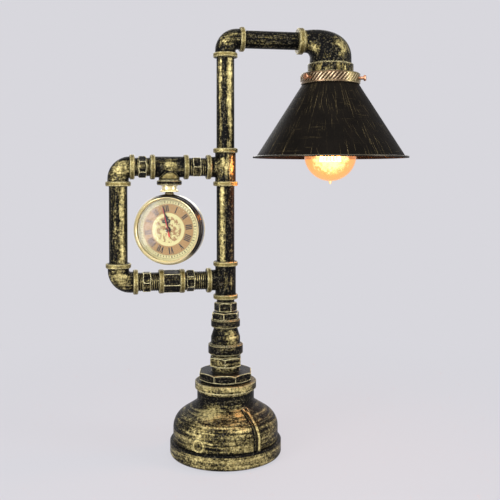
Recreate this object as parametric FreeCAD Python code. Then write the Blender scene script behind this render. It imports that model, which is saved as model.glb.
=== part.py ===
"""Industrial pipe table lamp with a hanging clock, in millimetres.

The origin is on the table under the column's axis. +X runs along the arm to the shade,
-Y is the front and +Z is up. Each sub-part is one STEP file in parts/.
"""
import FreeCAD, Part
import math
import os

V = FreeCAD.Vector
UP = V(0, 0, 1)
ALONG = V(1, 0, 0)

# Places of the main axes
arm_height = 495.2
loop_reach = 126.3
arm_reach = 129.8

# Pipe and its half-inch thread; fit_gap is the radial clearance of every screwed or sliding fit
pipe_d = 21.3
pipe_bore = 16.0
thread_d = 20.95
thread_bite = 9.0
socket_spare = 1.5
fit_gap = 0.05

# Elbows and tees
fitting_reach = 22.5
top_elbow_reach = 18.8
clock_tee_drop = 21.3
tee_branch_reach = 23.3
fitting_body_d = 24.6
bend_radius = 14.0
bead_d = 29.3
bead_w = 5.6
bead_chamfer = 0.9

# Hexagon nipples of the loop: the hexagon's size and each hexagon's place along its run
nipple_flats = 22.0
nipple_hex_w = 9.3
nipple_chamfer = 0.8
top_inner_hex_at = 34.9
bottom_inner_hex_at = 42.5
bottom_outer_hex_at = 93.7
coupling_at = 64.5
coupling_length = 30.6
coupling_flats = 23.2
coupling_bead_d = 28.3
coupling_bead_w = 6.2
coupling_turn = 14.0

# Base casting, cover and foot
foot_proud = 1.2
foot_d = 112.0
foot_t = 2.0
cover_t = 2.5
cover_gap = 0.3
cover_ledge = 4.0
flange_d = 132.8
flange_h = 17.2
drum_d = 125.2
drum_h = 34.0
shoulder_top = 64.5
base_wall = 5.5
base_neck_d = 68.0
base_collar_d = 73.2
base_collar_w = 9.2
base_top = 88.0
base_rib_count = 2
base_rib_at = 27.0
base_rib_w = 6.0
base_rib_proud = 2.2
mark_ring_d = 15.0
mark_ring_t = 2.0
mark_ring_proud = 1.1
mark_ring_at = -38.0
mark_ring_height = 27.0
screw_count = 3
screw_turn = 30.0
screw_circle_d = 104.0
screw_shank_d = 4.0
screw_head_d = 7.6
screw_head_t = 1.4
screw_length = 14.0
boss_d = 10.0
boss_h = 20.0
cord_hole_height = 11.0
cord_bore_d = 7.0
bushing_d = 11.0
bushing_head_d = 12.4
bushing_head_t = 2.2

# Stack between the base and the lower tee, from below
octagon_flats = 61.0
octagon_turn = -10.5
octagon_h = 9.3
octagon_lift = 2.4
octagon_thread_d = 59.4
octagon_thread_h = 20.0
lower_thread_d = 33.2
lower_flats = 36.0
lower_turn = 19.5
lower_hex_h = 10.5
lower_hex_lift = 6.3
lower_thread_bite = 9.0
reducer_lift = 3.8
reducer_height = 41.2
reducer_big_d = 41.4
reducer_big_w = 11.6
reducer_body_d = 34.8
reducer_body_h = 20.0
reducer_neck_d = 27.2
reducer_small_d = 34.6
reducer_small_w = 9.4
bushing_thread_d = 26.4
bushing_flats = 30.0
bushing_turn = 14.0
bushing_hex_h = 8.4
column_nipple_flats = 23.6
column_nipple_hex_h = 10.4
column_nipple_lift = 1.0
tee_lift = 4.2

# Reducing elbow over the shade
drop_in_reach = 41.9
drop_in_bead_d = 32.0
drop_in_bead_w = 7.0
drop_in_body_d = 27.2
drop_out_d = 51.0
drop_out_bead_d = 55.8
drop_out_bead_w = 11.6
drop_out_body_h = 8.0
drop_corner_r = 5.0
drop_wall = 4.2
drop_sections = 4

# Shade, its gallery and thumbscrews
gallery_d = 72.6
gallery_wall = 2.2
gallery_h = 13.2
gallery_plate_t = 2.0
gallery_hole_d = 41.0
shade_ring_d = 50.0
shade_ring_h = 5.5
shade_t = 1.0
shade_neck_d = 64.0
shade_neck_h = 10.5
shade_top_d = 69.6
shade_rim_d = 190.0
shade_lip = 4.0
shade_h = 89.6
thumb_lift = 6.3
thumb_count = 3
thumb_first_at = -60.0
thumb_shank_d = 4.0
thumb_head_d = 7.4
thumb_head_t = 2.6
thumb_proud = 7.4

# Lamp holder
holder_d = 39.6
holder_h = 22.0
holder_cap_d = 30.0
holder_nipple_d = 10.0
holder_nipple_bore = 7.0
holder_nut_flats = 14.0
holder_nut_h = 3.0
bridge_d = 46.0
bridge_lift = 12.0
bridge_window_d = 9.0
bridge_window_at = 14.0
bridge_t = 2.5
shell_t = 0.5
contact_w = 7.0
contact_t = 0.8

# Bulb with a twenty-seven millimetre screw cap
bulb_d = 64.0
bulb_length = 140.0
bulb_lift = 5.2
cap_d = 26.3
cap_h = 24.5
cap_t = 0.4
cap_gap = 0.35
insulator_h = 3.0
bulb_contact_d = 9.5
glass_t = 0.8
neck_d = 25.0
tip_d = 5.0
tip_h = 3.5
stem_d = 9.0
filament_wire_d = 1.0
filament_count = 8
filament_drop = 68.0
filament_top_d = 14.0
filament_low_d = 26.0

# Clock: sizes along its axis are measured back from the middle of the case. The loop is made to its diameter:
# it clears the beads below it and hangs clock_hang under the loop's upper run
clock_reach = 66.9
clock_turn = -19.0
dial_roll = 7.5
clock_hang = 31.8
clock_clearance = 5.15
clock_d = 83.2
case_w = 19.0
case_wall = 4.4
case_corner = 3.6
bezel_w = 4.6
bezel_inner_d = 72.8
bezel_step = 1.0
crystal_t = 1.4
crystal_rise = 1.6
dial_t = 0.8
dial_sink = 4.3
back_t = 1.8
back_rise = 2.2
movement_d = 52.0
movement_t = 8.5
arbor_d = 2.4
pipe_hand_d = 4.2
hand_t = 0.5
hand_pitch = 1.0
minute_length = 28.5
hour_length = 17.8
second_length = 26.6
second_tail = 9.0
minute_at = -12.0
hour_at = -8.5
second_at = -13.3
knob_d = 9.0
knob_h = 4.0
knob_offset = 12.0
pendant_collar_d = 22.0
pendant_collar_h = 7.6
pendant_neck_d = 11.2
pendant_waist = 2.2
ball_bulge = 1.6
pendant_stud_d = 8.0
pendant_flutes = 12
hanger_h = 10.0
pendant_nut_flats = 13.0
pendant_nut_h = 4.0

# Leads
lead_d = 5.6
terminal_w = 30.0
terminal_depth = 17.0
terminal_h = 12.0
terminal_back = 16.0
terminal_well_d = 5.0
terminal_well_depth = 6.0
lead_rise = 14.0
lead_neck_drop = 14.0
lead_low_radius = 20.0
lead_neck_radius = 24.0
lead_split_below = 16.2
lead_split_before = 29.8

# Worked-out places
tee_half = fitting_reach
column_foot = base_top + octagon_lift + octagon_h
lower_hex_z = column_foot + lower_hex_lift
reducer_z = lower_hex_z + lower_hex_h + reducer_lift
reducer_top = reducer_z + reducer_height
column_hex_z = reducer_top + bushing_hex_h + column_nipple_lift
lower_tee_foot = column_hex_z + column_nipple_hex_h + tee_lift
loop_bottom_height = lower_tee_foot + tee_half
clock_x = -clock_reach
clock_height = loop_bottom_height + bead_d / 2 + clock_clearance + clock_d / 2
loop_top_height = clock_height + clock_d / 2 + clock_hang
clock_tee_near = clock_reach - tee_half
clock_tee_far = clock_reach + tee_half
elbow_face = loop_reach - fitting_reach
coupling_near = coupling_at - coupling_length / 2
coupling_far = coupling_at + coupling_length / 2
gallery_top = arm_height - drop_in_body_d / 2 - drop_corner_r - drop_out_body_h - drop_out_bead_w
shade_top = gallery_top - gallery_h
bulb_top = gallery_top + bulb_lift
bulb_tip = bulb_top - bulb_length
cover_top = foot_t + cover_t
column_lead_top = arm_height - lead_split_below
head_lead_from = arm_reach - lead_split_before
drum_r = drum_d / 2
flange_r = flange_d / 2
neck_r = base_neck_d / 2
case_r = clock_d / 2
dial_front = dial_sink - case_w / 2


def turned(path):
    """Solid turned about Z from (radius, height) steps; four numbers make an arc past the first two."""
    def at(r, z):
        return V(r, 0, z)
    start = at(*path[0])
    here = start
    edges = []
    for step in path[1:] + [path[0]]:
        end = at(*step[-2:])
        if len(step) == 4:
            edges.append(Part.Arc(here, at(*step[:2]), end).toShape())
        elif (end - here).Length > 1e-6:
            edges.append(Part.makeLine(here, end))
        here = end
    return Part.Face(Part.Wire(edges)).revolve(V(0, 0, 0), UP, 360)


def dome_middle(rim_r, rim_z, rise):
    """Point halfway out on a spherical cap that stands over the axis by its rise above its rim."""
    ball = (rim_r ** 2 + rise ** 2) / (2 * abs(rise))
    drop = ball - math.sqrt(ball ** 2 - rim_r ** 2 / 4)
    return (rim_r / 2, rim_z + rise - math.copysign(drop, rise))


def rod(d, z0, z1):
    return Part.makeCylinder(d / 2, z1 - z0, V(0, 0, z0))


def tube(outer, inner, z0, z1):
    return rod(outer, z0, z1).cut(rod(inner, z0 - 1, z1 + 1))


def prism(sides, flats, z0, z1, turn=0.0, chamfer=0.0):
    """Regular prism by its width across flats, with a flat to the front at turn 0 and chamfered corners."""
    r = flats / 2 / math.cos(math.pi / sides)
    first = -math.pi / 2 + math.pi / sides + math.radians(turn)
    angles = [first + 2 * math.pi * i / sides for i in range(sides + 1)]
    corners = [V(r * math.cos(angle), r * math.sin(angle), z0) for angle in angles]
    block = Part.Face(Part.makePolygon(corners)).extrude(V(0, 0, z1 - z0))
    if chamfer:
        wide = r + 1
        narrow = flats / 2
        slope = (wide - narrow) * chamfer / (r - narrow)
        block = block.common(turned([(0, z0), (narrow, z0), (wide, z0 + slope), (wide, z1 - slope),
                                     (narrow, z1), (0, z1)]))
    return block


def joined(shapes):
    body = shapes[0]
    for other in shapes[1:]:
        body = body.fuse(other)
    return body.removeSplitter()


def moved(shape, x=0.0, y=0.0, z=0.0):
    copy = shape.copy()
    copy.translate(V(x, y, z))
    return copy


def spun(shape, angle, axis=UP, about=V(0, 0, 0)):
    copy = shape.copy()
    copy.rotate(about, axis, angle)
    return copy


def laid_along(shape):
    """Lay a part that is built up Z along the loop, so that its Z runs to the left."""
    return spun(shape, -90, V(0, 1, 0))


def bead(outer, inner_side, face, toward):
    """Rolled collar of a fitting: from its open face, over its width toward the fitting's middle."""
    c = bead_chamfer
    r = outer / 2
    near = face
    far = face + toward * inner_side
    return turned([(0, near), (r - c, near), (r, near + toward * c), (r, far - toward * c), (r - c, far),
                   (0, far)])


def socket(face, toward, d=thread_d, bite=thread_bite):
    """Hole in a fitting for a thread that is screwed in by its bite."""
    depth = bite + socket_spare
    low = min(face - toward, face + toward * depth)
    high = max(face - toward, face + toward * depth)
    return rod(d + 2 * fit_gap, low, high)


def elbow(side_reach=fitting_reach):
    """Elbow at its own centre, with one mouth down and one mouth to +X that may reach less far."""
    centre = V(bend_radius, 0, -bend_radius)
    outer = Part.Face(Part.Wire(Part.makeCircle(fitting_body_d / 2, V(0, 0, -bend_radius), UP)))
    inner = Part.Face(Part.Wire(Part.makeCircle(pipe_bore / 2, V(0, 0, -bend_radius), UP)))
    bend = outer.revolve(centre, V(0, 1, 0), 90)
    bore = inner.revolve(centre, V(0, 1, 0), 90)

    def leg(reach):
        solid = rod(fitting_body_d, -reach, -bend_radius).fuse(bead(bead_d, bead_w, -reach, 1))
        hole = rod(pipe_bore, -reach - 1, -bend_radius).fuse(socket(-reach, 1))
        return solid, hole

    down, down_hole = leg(fitting_reach)
    side, side_hole = (spun(shape, -90, V(0, 1, 0)) for shape in leg(side_reach))
    return joined([bend, down, side]).cut(bore.fuse(down_hole).fuse(side_hole))


def tee(branch):
    """Tee at its own centre, with its run up Z and its branch toward -X."""
    run = [rod(fitting_body_d, -tee_half, tee_half), bead(bead_d, bead_w, -tee_half, 1),
           bead(bead_d, bead_w, tee_half, -1)]
    arm = rod(fitting_body_d, 0, branch).fuse(bead(bead_d, bead_w, branch, -1))
    run_bore = [rod(pipe_bore, -tee_half - 1, tee_half + 1), socket(-tee_half, 1), socket(tee_half, -1)]
    arm_bore = rod(pipe_bore, 0, branch + 1).fuse(socket(branch, -1))
    return joined(run + [laid_along(arm)]).cut(joined(run_bore + [laid_along(arm_bore)]))


def pipe(z0, z1):
    """Pipe whose visible length runs from z0 to z1, with a thread beyond each end."""
    body = joined([rod(pipe_d, z0, z1), rod(thread_d, z0 - thread_bite, z1 + thread_bite)])
    return body.cut(rod(pipe_bore, z0 - thread_bite - 1, z1 + thread_bite + 1))


def nipple(z0, hex_z, hex_h, z1, flats=nipple_flats, turn=0.0):
    """Hexagon nipple between the faces z0 and z1 of its two neighbours."""
    body = joined([rod(thread_d, z0 - thread_bite, z1 + thread_bite),
                   prism(6, flats, hex_z, hex_z + hex_h, turn, nipple_chamfer)])
    return body.cut(rod(pipe_bore, z0 - thread_bite - 1, z1 + thread_bite + 1))


def base_outline_radius(z):
    """Radius of the drum and its shoulder at a height, for what stands proud of them."""
    if z <= drum_h:
        return drum_r
    shoulder = (z - drum_h) / (shoulder_top - drum_h)
    return drum_r - (drum_r - neck_r) * shoulder ** 1.9


def at_screw(shape, i):
    """Set a shape that is built on the axis to the place of one of the cover's screws."""
    return spun(moved(shape, x=screw_circle_d / 2), 360.0 * i / screw_count + screw_turn)


def base_casting():
    collar_z = base_top - base_collar_w
    bottom = foot_proud
    outside = turned([(0, bottom), (flange_r - 3.6, bottom),
                      (flange_r - 0.9, bottom + 1.2, flange_r, bottom + 4.0),
                      (flange_r, flange_h), (flange_r - 1.2, flange_h + 1.8), (drum_r, flange_h + 2.2),
                      (drum_r, drum_h), (drum_r - 2.6, drum_h + 9.5, drum_r - 10.0, drum_h + 17.4),
                      (neck_r + 3.2, shoulder_top - 3.2),
                      (neck_r + 0.7, shoulder_top - 0.4, neck_r, shoulder_top + 3.0),
                      (neck_r, collar_z), (base_collar_d / 2, collar_z + 0.8),
                      (base_collar_d / 2, base_top - 0.8), (base_collar_d / 2 - 0.8, base_top),
                      (0, base_top)])
    ledge_r = foot_cover_r() + cover_gap
    cavity_r = ledge_r - cover_ledge
    mouth_r = octagon_thread_d / 2 + fit_gap
    inside = turned([(0, bottom - 1), (ledge_r, bottom - 1), (ledge_r, cover_top), (cavity_r, cover_top),
                     (cavity_r, drum_h),
                     (drum_r - 2.6 - base_wall, drum_h + 5.0, mouth_r + 12.0, drum_h + 14.0),
                     (mouth_r, shoulder_top - 6.0), (mouth_r, base_top + 1), (0, base_top + 1)])
    bosses = []
    holes = []
    for i in range(screw_count):
        bosses.append(at_screw(rod(boss_d, cover_top, drum_h + 12), i))
        holes.append(at_screw(rod(screw_shank_d + 2 * fit_gap, cover_top - 1, foot_t + screw_length + 1), i))
    boss_room = outside.common(rod(drum_d - 2 * base_wall, cover_top, cover_top + boss_h))
    shell = outside.cut(inside)
    lugs = [boss.common(boss_room) for boss in bosses]
    cord_hole = Part.makeCylinder(bushing_d / 2 + fit_gap, flange_d, V(0, 0, cord_hole_height), V(0, 1, 0))
    body = joined([shell] + lugs + base_ribs() + [mark_ring()])
    for cut in holes + [cord_hole]:
        body = body.cut(cut)
    return body


def foot_cover_r():
    return drum_r - base_wall + 1.5


def base_ribs():
    """Cast ribs that run down the shoulder and the drum to the flange, standing a little proud."""
    steps = 5
    low = flange_h
    inner = drum_r - base_wall
    crest = []
    for i in range(steps + 1):
        z = drum_h + (shoulder_top - 2 - drum_h) * i / steps
        crest.append(V(base_outline_radius(z) + base_rib_proud * (1 - 0.6 * i / steps), 0, z))
    foot = [V(inner, 0, low), V(drum_r + base_rib_proud, 0, low)]
    top = [V(neck_r - 1, 0, shoulder_top - 2), V(neck_r - 1, 0, shoulder_top - 6)]
    sheet = Part.Face(Part.makePolygon(foot + crest + top + foot[:1]))
    rib = moved(sheet.extrude(V(0, base_rib_w, 0)), y=-base_rib_w / 2)
    return [spun(rib, -90 + base_rib_at + 360.0 * i / base_rib_count) for i in range(base_rib_count)]


def mark_ring():
    """Plain raised casting ring on the drum's front left."""
    out = V(0, -1, 0)
    start = V(0, -(drum_r - 3), mark_ring_height)
    length = 3 + mark_ring_proud
    ring = Part.makeCylinder(mark_ring_d / 2, length, start, out)
    ring = ring.cut(Part.makeCylinder(mark_ring_d / 2 - mark_ring_t, length + 2, start - out, out))
    ring = ring.common(rod(drum_d + 2 * mark_ring_proud, mark_ring_height - mark_ring_d,
                           mark_ring_height + mark_ring_d))
    return spun(ring, mark_ring_at)


def base_cover():
    plate = rod(2 * foot_cover_r(), foot_t, cover_top)
    for i in range(screw_count):
        plate = plate.cut(at_screw(rod(screw_shank_d + 4 * fit_gap, foot_t - 1, cover_top + 1), i))
        plate = plate.cut(at_screw(rod(screw_head_d + 4 * fit_gap, foot_t - 1, foot_t + screw_head_t), i))
    return plate


def cover_screws():
    screws = []
    for i in range(screw_count):
        head = rod(screw_head_d, foot_t, foot_t + screw_head_t)
        shank = rod(screw_shank_d, foot_t, foot_t + screw_length)
        screws.append(at_screw(joined([head, shank]), i))
    return Part.makeCompound(screws)


def cord_bushing():
    """Snap-in bushing at the back of the flange that the mains cord enters through."""
    r_bore = cord_bore_d / 2
    r_body = bushing_d / 2
    r_head = bushing_head_d / 2
    face = bushing_head_t
    deep = flange_r - foot_cover_r() + cover_ledge
    ring = turned([(r_bore, -deep), (r_body, -deep), (r_body, 0.3), (r_head, 0.3), (r_head, face - 0.6),
                   (r_head - 0.8, face), (r_bore + 0.8, face), (r_bore, face - 0.8)])
    ring.rotate(V(0, 0, 0), ALONG, -90)
    return moved(ring, y=flange_r, z=cord_hole_height)


def terminal_block():
    top = cover_top + terminal_h
    corner = V(-terminal_w / 2, terminal_back - terminal_depth / 2, cover_top)
    block = Part.makeBox(terminal_w, terminal_depth, terminal_h, corner)
    for side in (-1, 1):
        well = rod(terminal_well_d, top - terminal_well_depth, top + 1)
        block = block.cut(moved(well, side * terminal_w / 4, terminal_back))
    return block


def octagon_bushing():
    z0 = base_top + octagon_lift
    body = joined([rod(octagon_thread_d, base_top - octagon_thread_h, z0 + octagon_h / 2),
                   prism(8, octagon_flats, z0, z0 + octagon_h, octagon_turn, 1.2)])
    body = body.cut(rod(pipe_d + 2, base_top - octagon_thread_h - 1, z0 + octagon_h + 1))
    return body.cut(socket(column_foot, -1, lower_thread_d, lower_thread_bite))


def lower_nipple():
    low = column_foot - lower_thread_bite
    high = reducer_z + lower_thread_bite
    hexagon = prism(6, lower_flats, lower_hex_z, lower_hex_z + lower_hex_h, lower_turn, nipple_chamfer)
    body = joined([rod(lower_thread_d, low, high), hexagon])
    return body.cut(rod(pipe_bore, low - 1, high + 1))


def bell_reducer():
    z0 = reducer_z
    z1 = reducer_top
    c = bead_chamfer
    big = reducer_big_d / 2
    body = reducer_body_d / 2
    small = reducer_small_d / 2
    neck = reducer_neck_d / 2
    body_top = z0 + reducer_body_h
    small_z = z1 - reducer_small_w
    outside = turned([(0, z0), (big - c, z0), (big, z0 + c), (big, z0 + reducer_big_w - c),
                      (big - c, z0 + reducer_big_w), (body, z0 + reducer_big_w), (body, body_top),
                      (body - 1.6, body_top + 4.6, neck, small_z), (small - c, small_z), (small, small_z + c),
                      (small, z1 - c), (small - c, z1), (0, z1)])
    channel = rod(pipe_bore + 4, z0 - 1, z1 + 1)
    return outside.cut(channel).cut(socket(z0, 1, lower_thread_d, lower_thread_bite)).cut(
        socket(z1, -1, bushing_thread_d, thread_bite))


def hex_bushing():
    z0 = reducer_top
    z1 = z0 + bushing_hex_h
    body = joined([rod(bushing_thread_d, z0 - thread_bite, z0 + bushing_hex_h / 2),
                   prism(6, bushing_flats, z0, z1, bushing_turn, nipple_chamfer)])
    return body.cut(rod(pipe_bore, z0 - thread_bite - 1, z1 + 1)).cut(socket(z1, -1, thread_d, thread_bite))


def column_nipple():
    return nipple(reducer_top + bushing_hex_h, column_hex_z, column_nipple_hex_h, lower_tee_foot,
                  column_nipple_flats, octagon_turn)


def column_tee(height):
    return moved(tee(tee_branch_reach), z=height)


def run_part(shape, height):
    """Set a part that is built up Z from the column's axis into a run of the loop."""
    return moved(laid_along(shape), z=height)


def clock_tee():
    body = tee(clock_tee_drop)
    body = spun(body, -90, V(0, 1, 0))
    return moved(body, clock_x, 0, loop_top_height)


def top_nipple_inner():
    low = top_inner_hex_at - nipple_hex_w / 2
    return run_part(nipple(tee_branch_reach, low, nipple_hex_w, clock_tee_near, turn=30), loop_top_height)


def top_nipple_outer():
    face = loop_reach - top_elbow_reach
    middle = (clock_tee_far + face) / 2
    part = nipple(clock_tee_far, middle - nipple_hex_w / 2, nipple_hex_w, face)
    return run_part(part, loop_top_height)


def bottom_nipple_inner():
    part = nipple(tee_branch_reach, bottom_inner_hex_at - nipple_hex_w / 2, nipple_hex_w, coupling_near)
    return run_part(part, loop_bottom_height)


def bottom_nipple_outer():
    part = nipple(coupling_far, bottom_outer_hex_at - nipple_hex_w / 2, nipple_hex_w, elbow_face, turn=30)
    return run_part(part, loop_bottom_height)


def hex_coupling():
    a = coupling_near
    b = coupling_far
    body = joined([prism(6, coupling_flats, a + 1, b - 1, coupling_turn),
                   bead(coupling_bead_d, coupling_bead_w, a, 1),
                   bead(coupling_bead_d, coupling_bead_w, b, -1)])
    channel = joined([rod(pipe_bore, a - 1, b + 1), socket(a, 1), socket(b, -1)])
    return run_part(body.cut(channel), loop_bottom_height)


def top_elbow():
    return moved(elbow(top_elbow_reach), -loop_reach, 0, loop_top_height)


def bottom_elbow():
    return moved(spun(elbow(), 180, ALONG), -loop_reach, 0, loop_bottom_height)


def left_pipe():
    return moved(pipe(loop_bottom_height + fitting_reach, loop_top_height - fitting_reach), x=-loop_reach)


def column_pipe_lower():
    return pipe(loop_bottom_height + tee_half, loop_top_height - tee_half)


def column_pipe_upper():
    return pipe(loop_top_height + tee_half, arm_height - fitting_reach)


def arm_elbow():
    return moved(elbow(), z=arm_height)


def arm_pipe():
    shape = spun(pipe(fitting_reach, arm_reach - drop_in_reach), 90, V(0, 1, 0))
    return moved(shape, z=arm_height)


def swept_bend(d_in, d_out, corner_r, pivot):
    """Bend that widens steadily as it turns from the arm down to the shade, lofted through circles."""
    rings = []
    last = drop_sections - 1
    for i in range(drop_sections):
        turn = math.pi / 2 * i / last
        d = d_in + (d_out - d_in) * math.sin(turn) ** 2
        toward = V(math.sin(turn), 0, math.cos(turn))
        wall = corner_r + (drop_in_body_d - d_in) / 2 * (1 - i / last) + (drop_out_d - d_out) / 2 * i / last
        ring = Part.makeCircle(d / 2)
        ring.rotate(V(0, 0, 0), V(0, 1, 0), 90 + math.degrees(turn))
        ring.translate(pivot + toward * (wall + d / 2))
        rings.append(Part.Wire(ring))
    return Part.makeLoft(rings, True, False)


def drop_elbow():
    pivot = V(arm_reach - drop_out_d / 2 - drop_corner_r, 0, arm_height - drop_in_body_d / 2 - drop_corner_r)
    face = arm_reach - drop_in_reach
    mouth = pivot.z - drop_out_body_h - drop_out_bead_w
    c = bead_chamfer

    def along(shape):
        return moved(spun(shape, 90, V(0, 1, 0)), z=arm_height)

    def down(shape):
        return moved(shape, x=arm_reach)

    inlet = along(joined([rod(drop_in_body_d, face + 1, pivot.x),
                          bead(drop_in_bead_d, drop_in_bead_w, face, 1)]))
    r = drop_out_bead_d / 2
    top = mouth + drop_out_bead_w
    outlet = down(turned([(0, mouth), (r - c, mouth), (r, mouth + c), (r, top - c), (r - c, top),
                          (drop_out_d / 2, top), (drop_out_d / 2, pivot.z), (0, pivot.z)]))
    body = joined([swept_bend(drop_in_body_d, drop_out_d, drop_corner_r, pivot), inlet, outlet])
    bore_in = drop_in_body_d - 2 * drop_wall
    bore_out = drop_out_d - 2 * drop_wall
    ledge_z = bridge_z()
    room = bridge_d / 2 + fit_gap
    hollow = down(turned([(0, mouth - 1), (room, mouth - 1), (room, ledge_z + bridge_t),
                          (bore_out / 2, ledge_z + bridge_t), (bore_out / 2, pivot.z + 0.01),
                          (0, pivot.z + 0.01)]))
    entry = along(joined([rod(bore_in, face - 1, pivot.x + 0.01), socket(face, 1)]))
    return body.cut(swept_bend(bore_in, bore_out, drop_corner_r, pivot)).cut(hollow).cut(entry)


def bridge_z():
    """Underside of the bridge that carries the lamp holder inside the elbow's mouth."""
    return gallery_top + bridge_lift


def on_shade_axis(shape):
    return moved(shape, x=arm_reach)


def holder_bridge():
    z = bridge_z()
    plate = rod(bridge_d, z, z + bridge_t).cut(rod(holder_nipple_d + 2 * fit_gap, z - 1, z + bridge_t + 1))
    for side in (-1, 1):
        window = rod(bridge_window_d, z - 1, z + bridge_t + 1)
        plate = plate.cut(moved(window, y=side * bridge_window_at))
    return on_shade_axis(plate)


def holder_nipple():
    """Hollow threaded tube through the bridge, with its nut above."""
    z0 = holder_top() - 4.0
    tube_part = tube(holder_nipple_d, holder_nipple_bore, z0, bridge_z() + bridge_t + holder_nut_h + 1.0)
    nut_z = bridge_z() + bridge_t
    nut = prism(6, holder_nut_flats, nut_z, nut_z + holder_nut_h, 0, 0.5)
    nut = nut.cut(rod(holder_nipple_d + 2 * fit_gap, nut_z - 1, nut_z + holder_nut_h + 1))
    return on_shade_axis(Part.makeCompound([tube_part, nut]))


def holder_top():
    return bridge_z()


def holder_foot():
    return gallery_top - holder_h


def socket_body():
    """Moulded holder: a cup that the bulb's cap enters from below, with a domed head under the bridge."""
    top = holder_top()
    r = holder_d / 2
    foot = holder_foot()
    shoulder = gallery_top + 3.0
    well_r = cap_d / 2 + cap_gap + shell_t + fit_gap
    floor = bulb_top + contact_t + 1.4
    outside = turned([(0, foot), (r - 0.6, foot), (r, foot + 0.6), (r, shoulder),
                      (holder_cap_d / 2 + 2.0, top - 2.6, holder_cap_d / 2 - 3.0, top), (0, top)])
    well = rod(2 * well_r, foot - 1, floor)
    hole = rod(holder_nipple_d + 2 * fit_gap, floor - 1, top + 1)
    return on_shade_axis(outside.cut(well).cut(hole))


def socket_shell():
    inner = cap_d / 2 + cap_gap
    foot = holder_foot() + 1.5
    top = bulb_top - insulator_h + 0.5
    return on_shade_axis(tube(2 * (inner + shell_t), 2 * inner, foot, top))


def socket_contact():
    """Springy centre contact on the floor of the holder's cup, just over the bulb's contact."""
    low = bulb_top + fit_gap
    reach = cap_d / 2 + cap_gap - 1.0
    floor = bulb_top + contact_t + 1.4
    strip = Part.makeBox(2 * reach, contact_w, contact_t, V(-reach, -contact_w / 2, floor - contact_t))
    pad = rod(contact_w, low, floor - contact_t / 2)
    return on_shade_axis(joined([strip, pad]))


def shade_ring():
    """Threaded ring on the holder that carries the gallery."""
    top = gallery_top - gallery_plate_t
    low = top - shade_ring_h
    r = shade_ring_d / 2
    hole = holder_d / 2 + fit_gap
    ring = turned([(hole, low), (r - 0.6, low), (r, low + 0.6), (r, top - 0.6), (r - 0.6, top), (hole, top)])
    return on_shade_axis(ring)


def shade_gallery():
    """Cup over the shade's neck, with a screwed hole for each thumbscrew."""
    r = gallery_d / 2
    inner = r - gallery_wall
    top = gallery_top
    low = shade_top
    cup = turned([(gallery_hole_d / 2, top), (r - 2.2, top), (r - 0.6, top - 0.6, r, top - 2.2),
                  (r, low + 0.8), (r - 0.6, low), (inner, low), (inner, top - gallery_plate_t),
                  (gallery_hole_d / 2, top - gallery_plate_t)])
    for i in range(thumb_count):
        hole = Part.makeCylinder(thumb_shank_d / 2 + fit_gap, r + 2, V(0, 0, thumb_z()), V(0, -1, 0))
        cup = cup.cut(spun(hole, thumb_angle(i)))
    return on_shade_axis(cup)


def thumb_z():
    return shade_top + thumb_lift


def thumb_angle(i):
    return thumb_first_at + 360.0 * i / thumb_count


def thumbscrew(i):
    """Thumbscrew whose tip all but touches the shade's neck."""
    tip = shade_neck_d / 2 + 0.15
    end = gallery_d / 2 + thumb_proud
    head = end - thumb_head_t
    shank_r = thumb_shank_d / 2
    head_r = thumb_head_d / 2
    screw = turned([(0, tip), (shank_r - 0.5, tip), (shank_r, tip + 0.5), (shank_r, head),
                    (head_r - 0.4, head), (head_r, head + 0.4), (head_r, end - 0.6), (head_r - 0.6, end),
                    (0, end)])
    screw.rotate(V(0, 0, 0), ALONG, 90)
    return on_shade_axis(spun(moved(screw, z=thumb_z()), thumb_angle(i)))


def lamp_shade():
    t = shade_t
    rim = shade_rim_d / 2
    low = shade_top - shade_h
    neck = shade_neck_d / 2
    top = shade_top_d / 2
    inner_rim = rim - shade_lip
    slope = (inner_rim - top) / shade_h
    side = t * math.sqrt(1 + slope * slope)
    cone_top = shade_top - 0.6
    sheet = turned([(neck - t, cone_top + shade_neck_h), (neck, cone_top + shade_neck_h), (neck, cone_top),
                    (top, cone_top), (inner_rim, low + t), (rim, low + t), (rim, low),
                    (inner_rim - side + t * slope, low), (top - side, cone_top - t),
                    (neck - t, cone_top - t)])
    return on_shade_axis(sheet)


def bulb_outline(shrink):
    """Half outline of the pear-shaped glass from its tip to its neck."""
    r = bulb_d / 2 - shrink
    z_wide = bulb_tip + tip_h + bulb_d / 2
    neck = neck_d / 2 - shrink
    z_neck = bulb_top - cap_h
    s = math.sqrt(0.5)
    lower = [(0, z_wide - r), (r * s, z_wide - r * s, r, z_wide)]
    return lower + [(r - 2.2, z_wide + 14.0, r - 8.0, z_wide + 31.0),
                    (neck + 3.2, z_neck - 14.0, neck, z_neck)]


def bulb_glass():
    z_neck = bulb_top - cap_h
    outside = turned(bulb_outline(0) + [(neck_d / 2, z_neck + 6), (0, z_neck + 6)])
    inside = turned(bulb_outline(glass_t) + [(neck_d / 2 - glass_t, z_neck + 7), (0, z_neck + 7)])
    root = bulb_tip + tip_h + 0.6
    tip = turned([(0, bulb_tip), (tip_d / 5, bulb_tip), (tip_d / 3, bulb_tip + 1.6, tip_d / 2, root),
                  (0, root)])
    return on_shade_axis(joined([outside, tip]).cut(inside))


def bulb_cap():
    r = cap_d / 2
    z0 = bulb_top - cap_h
    z1 = bulb_top - insulator_h
    eye = bulb_contact_d / 2 + 1.5
    throat = neck_d / 2 + fit_gap
    cap = turned([(throat, z0), (r - 0.2, z0), (r, z0 + 1.5), (r, z1 - 1.5), (r - 2.5, z1), (eye, z1),
                  (eye, z1 - cap_t), (r - 2.5 - cap_t, z1 - cap_t), (r - cap_t, z1 - 1.5 - cap_t),
                  (r - cap_t, z0 + 7.0), (throat, z0 + 7.0)])
    return on_shade_axis(cap)


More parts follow.
